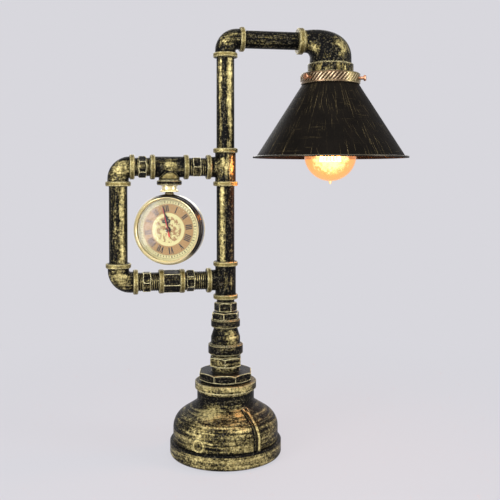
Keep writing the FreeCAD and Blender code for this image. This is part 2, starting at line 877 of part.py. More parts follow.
def bulb_insulator():
    z1 = bulb_top - insulator_h
    r = cap_d / 2 - 3.0
    low = bulb_contact_d / 2
    button = turned([(0, z1), (r, z1), (low, bulb_top - 1.0), (0, bulb_top - 1.0)])
    return on_shade_axis(button)


def bulb_contact():
    r = bulb_contact_d / 2
    dot = turned([(0, bulb_top - 1.0), (r, bulb_top - 1.0), (r - 0.8, bulb_top), (0, bulb_top)])
    return on_shade_axis(dot)


def bulb_stem():
    z0 = bulb_top - cap_h
    r = stem_d / 2
    flare = neck_d / 2 - glass_t - fit_gap
    low = z0 - 26.0
    stem = turned([(0, low), (r * 0.5, low), (r, low + 8.0), (r, z0 - 2.0), (flare, z0 + 4.0),
                   (flare, z0 + 5.5), (0, z0 + 5.5)])
    return on_shade_axis(stem)


def bulb_filament():
    """Straight wires of a cage filament, from the stem's shoulder down and out."""
    z1 = bulb_top - cap_h - 20.0
    z0 = z1 - filament_drop
    wires = []
    for i in range(filament_count):
        angle = 2 * math.pi * i / filament_count
        ray = V(math.cos(angle), math.sin(angle), 0)
        low = ray * (filament_low_d / 2) + UP * z0
        high = ray * (filament_top_d / 2) + UP * z1
        wires.append(Part.makeCylinder(filament_wire_d / 2, (high - low).Length, low, high - low))
    hub = tube(filament_top_d + 2 * filament_wire_d, stem_d + 2 * fit_gap, z1 - filament_wire_d,
               z1 + filament_wire_d)
    ring = Part.makeTorus(filament_low_d / 2, filament_wire_d / 2, V(0, 0, z0))
    return on_shade_axis(joined([hub, ring] + wires))


def clock_placed(shape, roll=0.0):
    """Stand up a part of the clock that is built along Z with its front down; roll turns it to the left."""
    copy = spun(shape, -90, ALONG)
    copy.rotate(V(0, 0, 0), V(0, 1, 0), -roll)
    copy.rotate(V(0, 0, 0), UP, clock_turn)
    copy.translate(V(clock_x, 0, clock_height))
    return copy


def clock_case():
    r = case_r
    half = case_w / 2
    inner = r - case_wall
    k = case_corner
    s = k * (1 - math.sqrt(0.5))
    ring = turned([(r - k, -half), (r - s, -half + s, r, -half + k), (r, half - k),
                   (r - s, half - s, r - k, half), (inner, half), (inner, -half)])
    seat = rod(pendant_neck_d + 2 * fit_gap, r - case_wall - 1, r + 2)
    return clock_placed(ring.cut(spun(seat, 90, ALONG)))


def clock_bezel():
    front = -case_w / 2
    r = case_r - case_corner * 0.4
    inner = bezel_inner_d / 2
    ring = turned([(inner + bezel_step, front), (r, front),
                   (r - 0.4, front - bezel_w * 0.62, r - 2.6, front - bezel_w),
                   (inner + 1.0, front - bezel_w * 0.7), (inner, front - bezel_w * 0.36),
                   (inner, front - crystal_t * 0.3), (inner + bezel_step, front - crystal_t * 0.3)])
    return clock_placed(ring)


def clock_crystal():
    """Slightly domed glass that is trapped behind the bezel."""
    r = case_r - case_wall - fit_gap
    seat = -case_w / 2
    inner = bezel_inner_d / 2 - fit_gap
    step = seat - crystal_t * 0.3
    floor = seat + crystal_t
    outer = dome_middle(inner, step, -crystal_rise)
    under = dome_middle(inner, floor, -crystal_rise)
    glass = turned([(0, floor - crystal_rise), under + (inner, floor), (r, floor), (r, seat), (inner, seat),
                    (inner, step), outer + (0, step - crystal_rise)])
    return clock_placed(glass)


def clock_dial():
    r = case_r - case_wall - fit_gap
    disc = tube(2 * r, pipe_hand_d + 1.6, dial_front, dial_front + dial_t)
    return clock_placed(disc, dial_roll)


def clock_movement():
    z0 = dial_front + dial_t
    z1 = z0 + movement_t
    r = movement_d / 2
    box = turned([(0, z0), (r, z0), (r, z1 - 2.0), (r - 2.0, z1), (0, z1)])
    post = tube(pipe_hand_d + 1.2, pipe_hand_d + 0.2, dial_front - 0.4, z0 + 1.0)
    bore = rod(pipe_hand_d + 0.2, z0 - 1, z0 + 5.0)
    knob_hole = moved(rod(arbor_d + 0.2, z1 - 4.0, z1 + 1), y=-knob_offset)
    fins = []
    for i in range(3):
        fin = Part.makeBox(case_r - case_wall - r + 2 - 0.3, 5.0, 2.0, V(r - 2, -2.5, z0))
        fins.append(spun(fin, 90 + 120.0 * i))
    return clock_placed(joined([box] + fins).cut(bore).fuse(post).removeSplitter().cut(knob_hole))


def clock_back():
    half = case_w / 2
    r = case_r - case_corner * 0.4
    spigot = case_r - case_wall - fit_gap
    spigot_h = 1.2
    edge = 0.5
    outer = dome_middle(r - 1.0, half + edge, back_rise - edge)
    inner_rise = back_rise - back_t + spigot_h
    inner = dome_middle(spigot - 1.0, half - spigot_h, inner_rise)
    cover = turned([(0, half + back_rise), outer + (r - 1.0, half + edge), (r, half), (spigot, half),
                    (spigot, half - spigot_h), (spigot - 1.0, half - spigot_h),
                    inner + (0, half - spigot_h + inner_rise)])
    knob_hole = moved(rod(knob_d + 1.0, half - 3, half + back_rise + 2), y=-knob_offset)
    return clock_placed(cover.cut(knob_hole))


def set_knob():
    z1 = dial_front + dial_t + movement_t
    top = case_w / 2 + back_rise + knob_h - 1.0
    knob = turned([(0, z1 - 3.5), (arbor_d / 2, z1 - 3.5), (arbor_d / 2, z1 + 0.6), (knob_d / 2, z1 + 0.6),
                   (knob_d / 2, top - 0.6), (knob_d / 2 - 0.6, top), (0, top)])
    return clock_placed(moved(knob, y=-knob_offset))


def hand_plane(level):
    """Back face of the hand at a level above the dial: 0 hour, 1 minute, 2 second."""
    return dial_front - 0.6 - hand_pitch * level


def blade(points, level):
    """Flat hand cut from a sheet; the outline's length runs up Y, mirrored left to right."""
    z = hand_plane(level)
    right = [V(x, y, z) for x, y in points]
    left = [V(-x, y, z) for x, y in reversed(points) if x > 0]
    outline = right + left
    return Part.Face(Part.makePolygon(outline + [outline[0]])).extrude(V(0, 0, -hand_t))


def hand_placed(shape, angle):
    """Turn a hand to its place; its own +Y is drawn upward, and angle runs clockwise on the dial's face."""
    return clock_placed(spun(shape, 180, UP), -angle)


def minute_hand():
    hub_z = hand_plane(1)
    hub = rod(pipe_hand_d - 0.4, hub_z - hand_t, hub_z)
    sheet = blade([(0, -4.0), (0.9, -3.0), (0.7, 0), (0.9, 6.0), (1.7, 12.0), (0.7, 19.0),
                   (0.4, minute_length - 2), (0, minute_length)], 1)
    arbor = tube(arbor_d, arbor_d * 0.5, hub_z - hand_t, dial_front + dial_t + 3.0)
    body = joined([sheet, hub, arbor])
    return hand_placed(body.cut(rod(arbor_d * 0.5, hub_z - hand_t - 1, dial_front + dial_t + 4.0)), minute_at)


def hour_hand():
    """Spade hand with two open loops before its point."""
    z = hand_plane(0)
    loop_d = 4.6
    loop_y = 10.0
    sheet = blade([(0, -3.0), (0.8, -2.4), (0.7, 6.0), (0.9, 12.6), (2.0, 14.0), (0.6, 16.4),
                   (0, hour_length)], 0)
    rings = []
    for side in (-1, 1):
        ring = tube(loop_d, loop_d - 1.6, z - hand_t, z)
        rings.append(moved(ring, side * loop_d * 0.42, loop_y))
    hub = rod(pipe_hand_d + 2.2, z - hand_t, z)
    sleeve = rod(pipe_hand_d - 0.1, z - hand_t, dial_front + dial_t + 3.6)
    body = joined([sheet, hub, sleeve] + rings)
    return hand_placed(body.cut(rod(arbor_d + 0.3, z - 2, dial_front + dial_t + 5.0)), hour_at)


def second_hand():
    z = hand_plane(2)
    sheet = blade([(0, -second_tail), (0.9, -second_tail + 0.6), (0.9, -5.0), (0.35, -4.0), (0.35, 10.0),
                   (0.2, second_length - 1), (0, second_length)], 2)
    hub = rod(pipe_hand_d - 0.6, z - hand_t - 0.2, z)
    pin = rod(arbor_d * 0.5 - 0.2, z - hand_t, dial_front + dial_t + 2.4)
    return hand_placed(joined([sheet, hub, pin]), second_at)


def clock_pendant():
    """Fluted collar and neck that hang the clock, with a stud up through the hanger."""
    foot = clock_height + case_r - case_wall + 0.2
    face = loop_top_height - clock_tee_drop
    collar_top = face - 0.4
    collar_low = collar_top - pendant_collar_h
    r = pendant_collar_d / 2
    n = pendant_neck_d / 2
    stud_top = face + hanger_h + pendant_nut_h + 1.4
    waist = r - pendant_waist
    ball_r = (collar_low - foot) / 2
    body = turned([(0, foot), (n - ball_bulge, foot), (n, foot + ball_r, n - ball_bulge, collar_low),
                   (r - 1.2, collar_low), (r, collar_low + 0.9, r - 0.9, collar_low + 1.8),
                   (waist, collar_low + 3.0), (waist, collar_top - 1.2), (r - 0.8, collar_top - 0.4),
                   (r - 0.8, collar_top), (pendant_stud_d / 2, collar_top), (pendant_stud_d / 2, stud_top),
                   (0, stud_top)])
    for i in range(pendant_flutes):
        flute = rod(2.0, collar_low - 2, collar_top + 1)
        body = body.cut(spun(moved(flute, x=r - 0.2), 360.0 * i / pendant_flutes))
    return moved(spun(body, clock_turn), x=clock_x)


def clock_hanger():
    """Plug in the clock tee's outlet that the clock's stud turns in."""
    face = loop_top_height - clock_tee_drop
    plug = tube(thread_d, pendant_stud_d + 2 * fit_gap, face, face + thread_bite)
    washer = tube(pipe_bore - 0.4, pendant_stud_d + 2 * fit_gap, face + thread_bite - 1, face + hanger_h)
    return moved(joined([plug, washer]), x=clock_x)


def pendant_nut():
    z = loop_top_height - clock_tee_drop + hanger_h + 0.2
    nut = prism(6, pendant_nut_flats, z, z + pendant_nut_h, 0, 0.5)
    nut = nut.cut(rod(pendant_stud_d + 2 * fit_gap, z - 1, z + pendant_nut_h + 1))
    return moved(spun(nut, clock_turn), x=clock_x)


def lead(points, radii):
    """Round cable along straight runs joined by tangent arcs."""
    edges = []
    here = points[0]
    for i in range(1, len(points) - 1):
        into = (points[i] - points[i - 1]).normalize()
        out = (points[i + 1] - points[i]).normalize()
        half = into.getAngle(out) / 2
        cut = radii[i - 1] * math.tan(half)
        a = points[i] - into * cut
        b = points[i] + out * cut
        bisector = (out - into).normalize()
        middle = points[i] + bisector * (radii[i - 1] / math.cos(half) - radii[i - 1])
        if (a - here).Length > 1e-6:
            edges.append(Part.LineSegment(here, a).toShape())
        edges.append(Part.Arc(a, middle, b).toShape())
        here = b
    if (points[-1] - here).Length > 1e-6:
        edges.append(Part.LineSegment(here, points[-1]).toShape())
    path = Part.Wire(edges)
    section = Part.Wire(Part.makeCircle(lead_d / 2, points[0], points[1] - points[0]))
    solid = path.makePipeShell([section], True, True)
    return solid


def column_lead():
    """From the terminal block in the base up the middle of the column."""
    start = V(0, terminal_back, cover_top + terminal_h)
    neck = V(0, 0, base_top - lead_neck_drop)
    return lead([start, start + UP * lead_rise, neck, V(0, 0, column_lead_top)],
                [lead_low_radius, lead_neck_radius])


def arm_lead():
    corner = V(0, 0, arm_height)
    return lead([V(0, 0, column_lead_top), corner, V(head_lead_from, 0, arm_height)], [bend_radius])


def head_lead():
    corner = V(arm_reach, 0, arm_height)
    low = bridge_z() + bridge_t + holder_nut_h + 1.2
    return lead([V(head_lead_from, 0, arm_height), corner, V(arm_reach, 0, low)], [bend_radius])


parts = {
    "base_casting": base_casting,
    "base_cover": base_cover,
    "foot_pad": lambda: rod(foot_d, 0, foot_t),
    "cover_screws": cover_screws,
    "cord_bushing": cord_bushing,
    "terminal_block": terminal_block,
    "octagon_bushing": octagon_bushing,
    "lower_nipple": lower_nipple,
    "bell_reducer": bell_reducer,
    "hex_bushing": hex_bushing,
    "column_nipple": column_nipple,
    "lower_tee": lambda: column_tee(loop_bottom_height),
    "column_pipe_lower": column_pipe_lower,
    "upper_tee": lambda: column_tee(loop_top_height),
    "column_pipe_upper": column_pipe_upper,
    "top_nipple_inner": top_nipple_inner,
    "clock_tee": clock_tee,
    "top_nipple_outer": top_nipple_outer,
    "top_elbow": top_elbow,
    "left_pipe": left_pipe,
    "bottom_elbow": bottom_elbow,
    "bottom_nipple_outer": bottom_nipple_outer,
    "hex_coupling": hex_coupling,
    "bottom_nipple_inner": bottom_nipple_inner,
    "clock_hanger": clock_hanger,
    "column_lead": column_lead,
    "arm_elbow": arm_elbow,
    "arm_pipe": arm_pipe,
    "arm_lead": arm_lead,
    "drop_elbow": drop_elbow,
    "holder_bridge": holder_bridge,
    "holder_nipple": holder_nipple,
    "socket_body": socket_body,
    "socket_shell": socket_shell,
    "socket_contact": socket_contact,
    "shade_ring": shade_ring,
    "shade_gallery": shade_gallery,
    "lamp_shade": lamp_shade,
    "head_lead": head_lead,
    "bulb_glass": bulb_glass,
    "bulb_cap": bulb_cap,
    "bulb_insulator": bulb_insulator,
    "bulb_contact": bulb_contact,
    "bulb_stem": bulb_stem,
    "bulb_filament": bulb_filament,
    "clock_pendant": clock_pendant,
    "pendant_nut": pendant_nut,
    "clock_case": clock_case,
    "clock_bezel": clock_bezel,
    "clock_crystal": clock_crystal,
    "clock_dial": clock_dial,
    "clock_movement": clock_movement,
    "clock_back": clock_back,
    "hour_hand": hour_hand,
    "minute_hand": minute_hand,
    "second_hand": second_hand,
    "set_knob": set_knob,
}
for i in range(thumb_count):
    parts["thumbscrew_%d" % (i + 1)] = lambda i=i: thumbscrew(i)

os.makedirs("parts", exist_ok=True)
for name, build in parts.items():
    shape = build()
    shape.exportStep("parts/%s.step" % name)
    box = shape.BoundBox
    print(name, "solids", len(shape.Solids), "valid", shape.isValid(), "volume", round(shape.Volume, 1),
          "box", [round(v, 1) for v in (box.XMin, box.YMin, box.ZMin, box.XMax, box.YMax, box.ZMax)])
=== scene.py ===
"""Looks of an industrial pipe table lamp with a hanging clock: materials, fine pieces, light and camera.

Lengths are metres in the lamp's own frame, and texture recipes work in millimetres.
"""
import math

import bmesh
import bpy
from mathutils import Matrix, Vector


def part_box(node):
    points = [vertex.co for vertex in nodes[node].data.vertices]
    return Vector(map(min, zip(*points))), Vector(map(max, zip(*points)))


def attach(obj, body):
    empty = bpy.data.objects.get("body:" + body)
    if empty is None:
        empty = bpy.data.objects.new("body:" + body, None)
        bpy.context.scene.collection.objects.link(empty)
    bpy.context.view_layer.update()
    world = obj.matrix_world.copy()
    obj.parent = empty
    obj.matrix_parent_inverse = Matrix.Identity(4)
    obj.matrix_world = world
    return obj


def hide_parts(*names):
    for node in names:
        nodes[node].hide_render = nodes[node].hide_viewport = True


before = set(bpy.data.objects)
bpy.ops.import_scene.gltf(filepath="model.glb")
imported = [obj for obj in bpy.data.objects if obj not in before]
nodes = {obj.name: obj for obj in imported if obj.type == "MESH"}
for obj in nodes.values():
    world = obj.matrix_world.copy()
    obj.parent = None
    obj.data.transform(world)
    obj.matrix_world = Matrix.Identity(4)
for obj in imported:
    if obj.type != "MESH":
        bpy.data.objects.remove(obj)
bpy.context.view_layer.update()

X = 0
Z = 2


def middle_of(name, axis):
    """Middle of a CAD node's box along an axis."""
    return sum(Vector(corner)[axis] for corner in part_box(name)) / 2


# Axes of the pipe runs, from the frame
COLUMN_X = 0.0
LEFT_X = middle_of("left_pipe", X)
TOP_Z = middle_of("top_nipple_inner", Z)
BOTTOM_Z = middle_of("hex_coupling", Z)
ARM_Z = middle_of("arm_pipe", Z)
SHADE_X = middle_of("lamp_shade", X)
CLOCK_X = middle_of("clock_hanger", X)
SHADE_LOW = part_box("lamp_shade")[0][2]
SHADE_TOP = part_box("shade_gallery")[0][2]
RIM_R = (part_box("lamp_shade")[1][0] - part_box("lamp_shade")[0][0]) / 2
BULB_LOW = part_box("bulb_glass")[0][2]
CLOCK_Z = middle_of("clock_dial", Z)

# How the clock hangs
CLOCK_TURN = math.radians(-19.0)
DIAL_ROLL = math.radians(7.5)

# Camera
FOCAL_PX = 756.4
FRAME_PX = 500.0
SENSOR = 36.0
MIDDLE_PX = 192.5
CAMERA_AT = Vector((-0.1378, -0.8930, 0.3339))
CAMERA_YAW = math.radians(-10.63)
CAMERA_DOWN = math.radians(1.36)

# Colours, as linear light
INK = (0.012, 0.012, 0.012)
IRON_DARK = (0.0015, 0.0015, 0.0015)
IRON_MID = (0.066, 0.058, 0.038)
GOLD_DULL = (0.15, 0.118, 0.042)
GOLD_PALE = (0.70, 0.59, 0.26)
# Pale gold of sharp edges: worn bright, and paler still as a painted highlight
GOLD_WORN_EDGE_HIGHLIGHT = (0.92, 0.82, 0.46)
BACKDROP = (0.687, 0.680, 0.723)

# Gold is thickest on faces square to this direction, which is close to the camera's axis, and thinner on
# faces side-on to it as painted shade on the sides
SIDE_SHADE_FACING = (0.15, 0.98, 0.0)

# Directions of the base's cast ribs and ring, then the ring's height and the bezel's crest in millimetres
RIB_ANGLE = math.radians(-63.0)
MARK_ANGLE = math.radians(-128.0)
MARK_HIGH = 27.0
BEZEL_CREST = 38.0

# Nipple threads in metres
THREAD_ROOT = 0.01042
THREAD_CREST = 0.01105
THREAD_PITCH = 0.00231
THREAD_BORE = 0.0098

# Slanting knurl of the gallery's band: its phase is turns of the angle less a rise in millimetres
KNURL_COUNT = 48
KNURL_TURNS = 36.3
KNURL_RISE = 0.9
KNURL_HALF = 2.3758
KNURL_STEP = 4.7517

# Dial print in millimetres, and the hour hand's direction in degrees
HOUR_AT = -8.5
NUMERALS = ["XII", "I", "II", "III", "IIII", "V", "VI", "VII", "VIII", "IX", "X", "XI"]
NUMERAL_LOW = 21.0
NUMERAL_HIGH = 28.6
STROKE_WIDE = 1.35
STROKE_THIN = 0.6
SERIF = 0.55
LETTER_WIDTH = {"I": 2.05, "V": 4.0, "X": 4.0}


class Recipe:
    """A material's node tree, built by short calls that return sockets."""

    def __init__(self, name, roughness=0.5, metallic=0.0):
        self.material = bpy.data.materials.new(name)
        self.material.use_nodes = True
        self.tree = self.material.node_tree
        self.tree.nodes.clear()
        self.surface = self.node("ShaderNodeOutputMaterial").inputs["Surface"]
        self.shader = self.node("ShaderNodeBsdfPrincipled")
        self.shader.inputs["Roughness"].default_value = roughness
        self.shader.inputs["Metallic"].default_value = metallic
        self.tree.links.new(self.shader.outputs[0], self.surface)
        self.place = self.node("ShaderNodeTexCoord").outputs["Object"]

    def node(self, kind, **settings):
        made = self.tree.nodes.new(kind)
        for key, value in settings.items():
            setattr(made, key, value)
        return made

    def put(self, socket, value):
        if isinstance(value, bpy.types.NodeSocket):
            self.tree.links.new(value, socket)
        elif value is not None:
            old = socket.default_value
            if hasattr(old, "__len__") and len(old) == 4 and len(value) == 3:
                value = (*value, 1.0)
            socket.default_value = value

    def calc(self, operation, a, b=None):
        made = self.node("ShaderNodeMath", operation=operation)
        for socket, value in zip(made.inputs, (a, b)):
            self.put(socket, value)
        return made.outputs[0]

    def add(self, a, b):
        return self.calc("ADD", a, b)

    def less(self, a, b):
        return self.calc("SUBTRACT", a, b)

    def times(self, a, b):
        return self.calc("MULTIPLY", a, b)

    def most(self, a, b):
        return self.calc("MAXIMUM", a, b)

    def vector(self, operation, a, b=None):
        made = self.node("ShaderNodeVectorMath", operation=operation)
        self.put(made.inputs[0], a)
        self.put(made.inputs[1], b)
        return made.outputs["Value" if operation in ("DOT_PRODUCT", "LENGTH", "DISTANCE") else "Vector"]

    def split(self, vector):
        made = self.node("ShaderNodeSeparateXYZ")
        self.put(made.inputs[0], vector)
        return made.outputs

    def join(self, x, y, z):
        made = self.node("ShaderNodeCombineXYZ")
        for socket, value in zip(made.inputs, (x, y, z)):
            self.put(socket, value)
        return made.outputs[0]

    def mm(self):
        """The surface's own place in millimetres."""
        return self.vector("MULTIPLY", self.place, (1000.0, 1000.0, 1000.0))

    def noise(self, vector, scale, detail=3.0, roughness=0.55):
        made = self.node("ShaderNodeTexNoise")
        self.put(made.inputs["Vector"], vector)
        self.put(made.inputs["Scale"], scale)
        self.put(made.inputs["Detail"], detail)
        self.put(made.inputs["Roughness"], roughness)
        return made.outputs[0]

    def stretched(self, vector, factors):
        return self.vector("MULTIPLY", vector, factors)

    def step(self, value, low, high, to_low=0.0, to_high=1.0):
        """Smooth step of a value from low to high."""
        made = self.node("ShaderNodeMapRange", interpolation_type="SMOOTHSTEP")
        for socket, part in zip(made.inputs, (value, low, high, to_low, to_high)):
            self.put(socket, part)
        return made.outputs[0]

    def blend(self, factor, a, b, mode="MIX"):
        made = self.node("ShaderNodeMix", data_type="RGBA", blend_type=mode)
        self.put(made.inputs[0], factor)
        self.put(made.inputs[6], a)
        self.put(made.inputs[7], b)
        return made.outputs[2]

    def bump(self, height, distance, strength=1.0):
        made = self.node("ShaderNodeBump")
        self.put(made.inputs["Strength"], strength)
        self.put(made.inputs["Distance"], distance)
        self.put(made.inputs["Height"], height)
        self.put(self.shader.inputs["Normal"], made.outputs[0])

    def hollows(self, reach):
        """1 deep in a corner, 0 on open faces."""
        shut = self.node("ShaderNodeAmbientOcclusion", samples=6)
        shut.inputs["Distance"].default_value = reach
        return self.step(shut.outputs["AO"], 0.35, 0.85, 1.0, 0.0)

    def edges(self, width):
        """1 along sharp edges, 0 on open faces."""
        bevel = self.node("ShaderNodeBevel", samples=6)
        self.put(bevel.inputs["Radius"], width)
        flat = self.node("ShaderNodeNewGeometry").outputs["Normal"]
        along = self.vector("DOT_PRODUCT", bevel.outputs[0], flat)
        return self.step(along, 0.997, 0.90)

    def colour(self, value):
        self.put(self.shader.inputs["Base Color"], value)

    def roughness(self, value):
        self.put(self.shader.inputs["Roughness"], value)

    def metallic(self, value):
        self.put(self.shader.inputs["Metallic"], value)


def dress(material, *names):
    """Give CAD nodes or pieces this material."""
    for name in names:
        piece = nodes[name] if isinstance(name, str) else name
        piece.data.materials.clear()
        piece.data.materials.append(material)


def distance_to_axis(recipe, place, kind, at):
    """Distance in millimetres from an upright axis at that x, or a level axis along X at that height."""
    part = recipe.split(place)
    off = recipe.less(part[X if kind == "upright" else Z], at * 1000.0)
    return recipe.calc("SQRT", recipe.add(recipe.times(off, off), recipe.times(part[1], part[1])))


def rubbed_gold(recipe, place, streaks, amount, collar=None, rims=None, edge_width=0.0019, side_shade=0.13):
    """Black iron with antique gold dry-brushed over it: streaks, speckle, collars and worn edges, with
    painted shade on the sides and in the hollows.

    Collar is where the gold is worn solid, and rims is where edges are worn bright and also get a painted
    highlight. The side_shade argument is how much gold the faces side-on to SIDE_SHADE_FACING lose as painted
    shade.
    """
    patch = recipe.noise(place, 0.035, 4.0, 0.6)
    fine = recipe.noise(place, 0.42, 4.0, 0.72)
    speck = recipe.noise(place, 0.46, 2.0, 0.6)
    grain = recipe.noise(place, 1.3, 3.0, 0.7)
    # Faces side-on to SIDE_SHADE_FACING lose gold: painted shade on the sides
    toward = recipe.node("ShaderNodeNewGeometry").outputs["Normal"]
    square = recipe.calc("ABSOLUTE", recipe.vector("DOT_PRODUCT", toward, SIDE_SHADE_FACING))
    painted_side_shade = recipe.step(square, 0.20, 0.90, -side_shade, 0.03)
    brushed = recipe.add(recipe.times(streaks, 0.85), recipe.times(patch, 0.42))
    brushed = recipe.add(brushed, recipe.times(recipe.less(fine, 0.5), 0.80))
    brushed = recipe.add(brushed, recipe.times(recipe.less(grain, 0.5), 0.20))
    brushed = recipe.add(brushed, painted_side_shade)
    brushed = recipe.add(brushed, amount)
    cover = recipe.step(brushed, 0.62, 0.88)
    edge = recipe.times(recipe.edges(edge_width), recipe.step(fine, 0.30, 0.48))
    if rims is not None:
        edge = recipe.times(edge, rims)
    cover = recipe.most(cover, edge)
    if collar is not None:
        worn = recipe.times(collar, recipe.step(recipe.noise(place, 0.20, 4.0, 0.7), 0.28, 0.44))
        cover = recipe.most(cover, worn)
    cover = recipe.times(cover, recipe.step(speck, 0.60, 0.68, 1.0, 0.10))
    # Gold and dust are kept out of hollows: the dry brush misses them, and the dark left there is also
    # painted shade
    outside_hollows = recipe.less(1.0, recipe.hollows(0.004))
    cover = recipe.times(cover, outside_hollows)
    tone = recipe.add(recipe.times(recipe.noise(place, 0.26, 3.0, 0.65), 0.6),
                      recipe.times(brushed, 0.4))
    tone = recipe.most(recipe.step(tone, 0.50, 0.82), edge)
    # Strong edges take the pale edge gold: wear with a painted highlight
    gold = recipe.blend(recipe.step(edge, 0.45, 0.95), recipe.blend(tone, GOLD_DULL, GOLD_PALE), GOLD_WORN_EDGE_HIGHLIGHT)
    dust = recipe.step(recipe.add(speck, recipe.times(streaks, 0.35)), 0.72, 0.84)
    black = recipe.blend(recipe.times(dust, outside_hollows), IRON_DARK, IRON_MID)
    recipe.colour(recipe.blend(cover, black, gold))
    recipe.metallic(recipe.times(cover, 0.80))
    recipe.roughness(recipe.step(cover, 0.0, 1.0, 0.34, 0.36))
    recipe.shader.inputs["Specular IOR Level"].default_value = 0.04
    relief = recipe.add(recipe.times(fine, 0.7), recipe.times(grain, 0.4))
    return recipe.add(relief, recipe.times(cover, 0.12))


def pipe_finish(name, along, amount, axes=(), gold_and_highlight_bands=(), spots=(), dull_under=None, hexed=False, crest=None):
    """Rubbed pipe or fitting: along is the streaks' direction or round, and axes give the collars.

    Each band in gold_and_highlight_bands is gold down the pipe, partly brushed and partly a painted
    highlight: its place across X in millimetres, its half width and its strength.
    Each spot is a worn patch: its place in X and Z, its radius and its strength.
    Below the height dull_under the collars keep their black. Hexed fittings have every edge worn.
    Crest is the radius to which a thread's turns are worn bright.
    """
    recipe = Recipe(name)
    place = recipe.mm()
    part = recipe.split(place)
    squeeze = (0.05, 0.05, 0.34)
    if along != "round":
        squeeze = tuple(0.028 if axis == along else 0.30 for axis in "xyz")
    streaks = recipe.noise(recipe.stretched(place, squeeze), 1.0, 5.0, 0.7)
    reach = None
    for kind, at in axes:
        here = distance_to_axis(recipe, place, kind, at)
        reach = here if reach is None else recipe.calc("MINIMUM", reach, here)
    collar = recipe.step(reach, 13.7, 14.2) if reach is not None else None
    rims = recipe.step(reach, 12.2, 12.9) if reach is not None and not hexed else None
    if dull_under is not None:
        collar = recipe.times(collar, recipe.step(part[2], dull_under - 0.5, dull_under + 0.5, 0.0, 1.0))
    level = amount
    # Gold bands down the pipe, partly brushed and partly a painted highlight
    for at, wide, strength in gold_and_highlight_bands:
        off = recipe.calc("ABSOLUTE", recipe.less(part[0], at))
        level = recipe.add(recipe.step(off, 0.0, wide, strength, 0.0), level)
    for x, z, wide, strength in spots:
        here = recipe.vector("LENGTH", recipe.join(recipe.less(part[0], x), 0.0,
                                                   recipe.less(part[2], z)))
        level = recipe.add(recipe.step(here, 0.0, wide, strength, 0.0), level)
    if crest is not None:
        rims = recipe.step(reach, crest - 0.12, crest + 0.02)
        level = recipe.add(recipe.step(reach, crest - 0.30, crest, -0.35, 0.12), level)
        collar = None
    relief = rubbed_gold(recipe, place, streaks, level, collar, rims)
    recipe.bump(relief, 0.0010 if crest is None else 0.0003, 0.7)
    return recipe.material


def drop_elbow_finish():
    """The shade's elbow: dark, with gold on its inlet collar and patches, and upright flecks on its mouth."""
    recipe = Recipe("rubbed_drop_elbow")
    place = recipe.mm()
    part = recipe.split(place)
    low, high = (Vector(corner) * 1000.0 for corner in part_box("drop_elbow"))
    streaks = recipe.noise(recipe.stretched(place, (0.12, 0.30, 0.12)), 1.0, 5.0, 0.7)
    inlet = recipe.step(part[0], low.x + 8.6, low.x + 9.4, 1.0, 0.0)
    angle = recipe.calc("ARCTAN2", part[1], recipe.less(part[0], SHADE_X * 1000.0))
    flecks = recipe.noise(recipe.join(recipe.times(angle, 5.0), recipe.times(part[2], 0.06), 0.0),
                          1.0, 3.0, 0.7)
    mouth = recipe.times(recipe.step(part[2], low.z + 11.0, low.z + 11.8, 1.0, 0.0),
                         recipe.step(flecks, 0.50, 0.58))
    level = -0.11
    for spot, wide, strength in (((high.x - 16.0, -20.0, low.z + 33.0), 25.0, 0.24),
                                 ((low.x + 17.0, -14.0, low.z + 29.0), 12.0, 0.26)):
        here = recipe.vector("DISTANCE", place, spot)
        level = recipe.add(recipe.step(here, 0.0, wide, strength, 0.0), level)
    relief = rubbed_gold(recipe, place, streaks, level, recipe.most(inlet, mouth))
    recipe.bump(relief, 0.0010, 0.7)
    return recipe.material


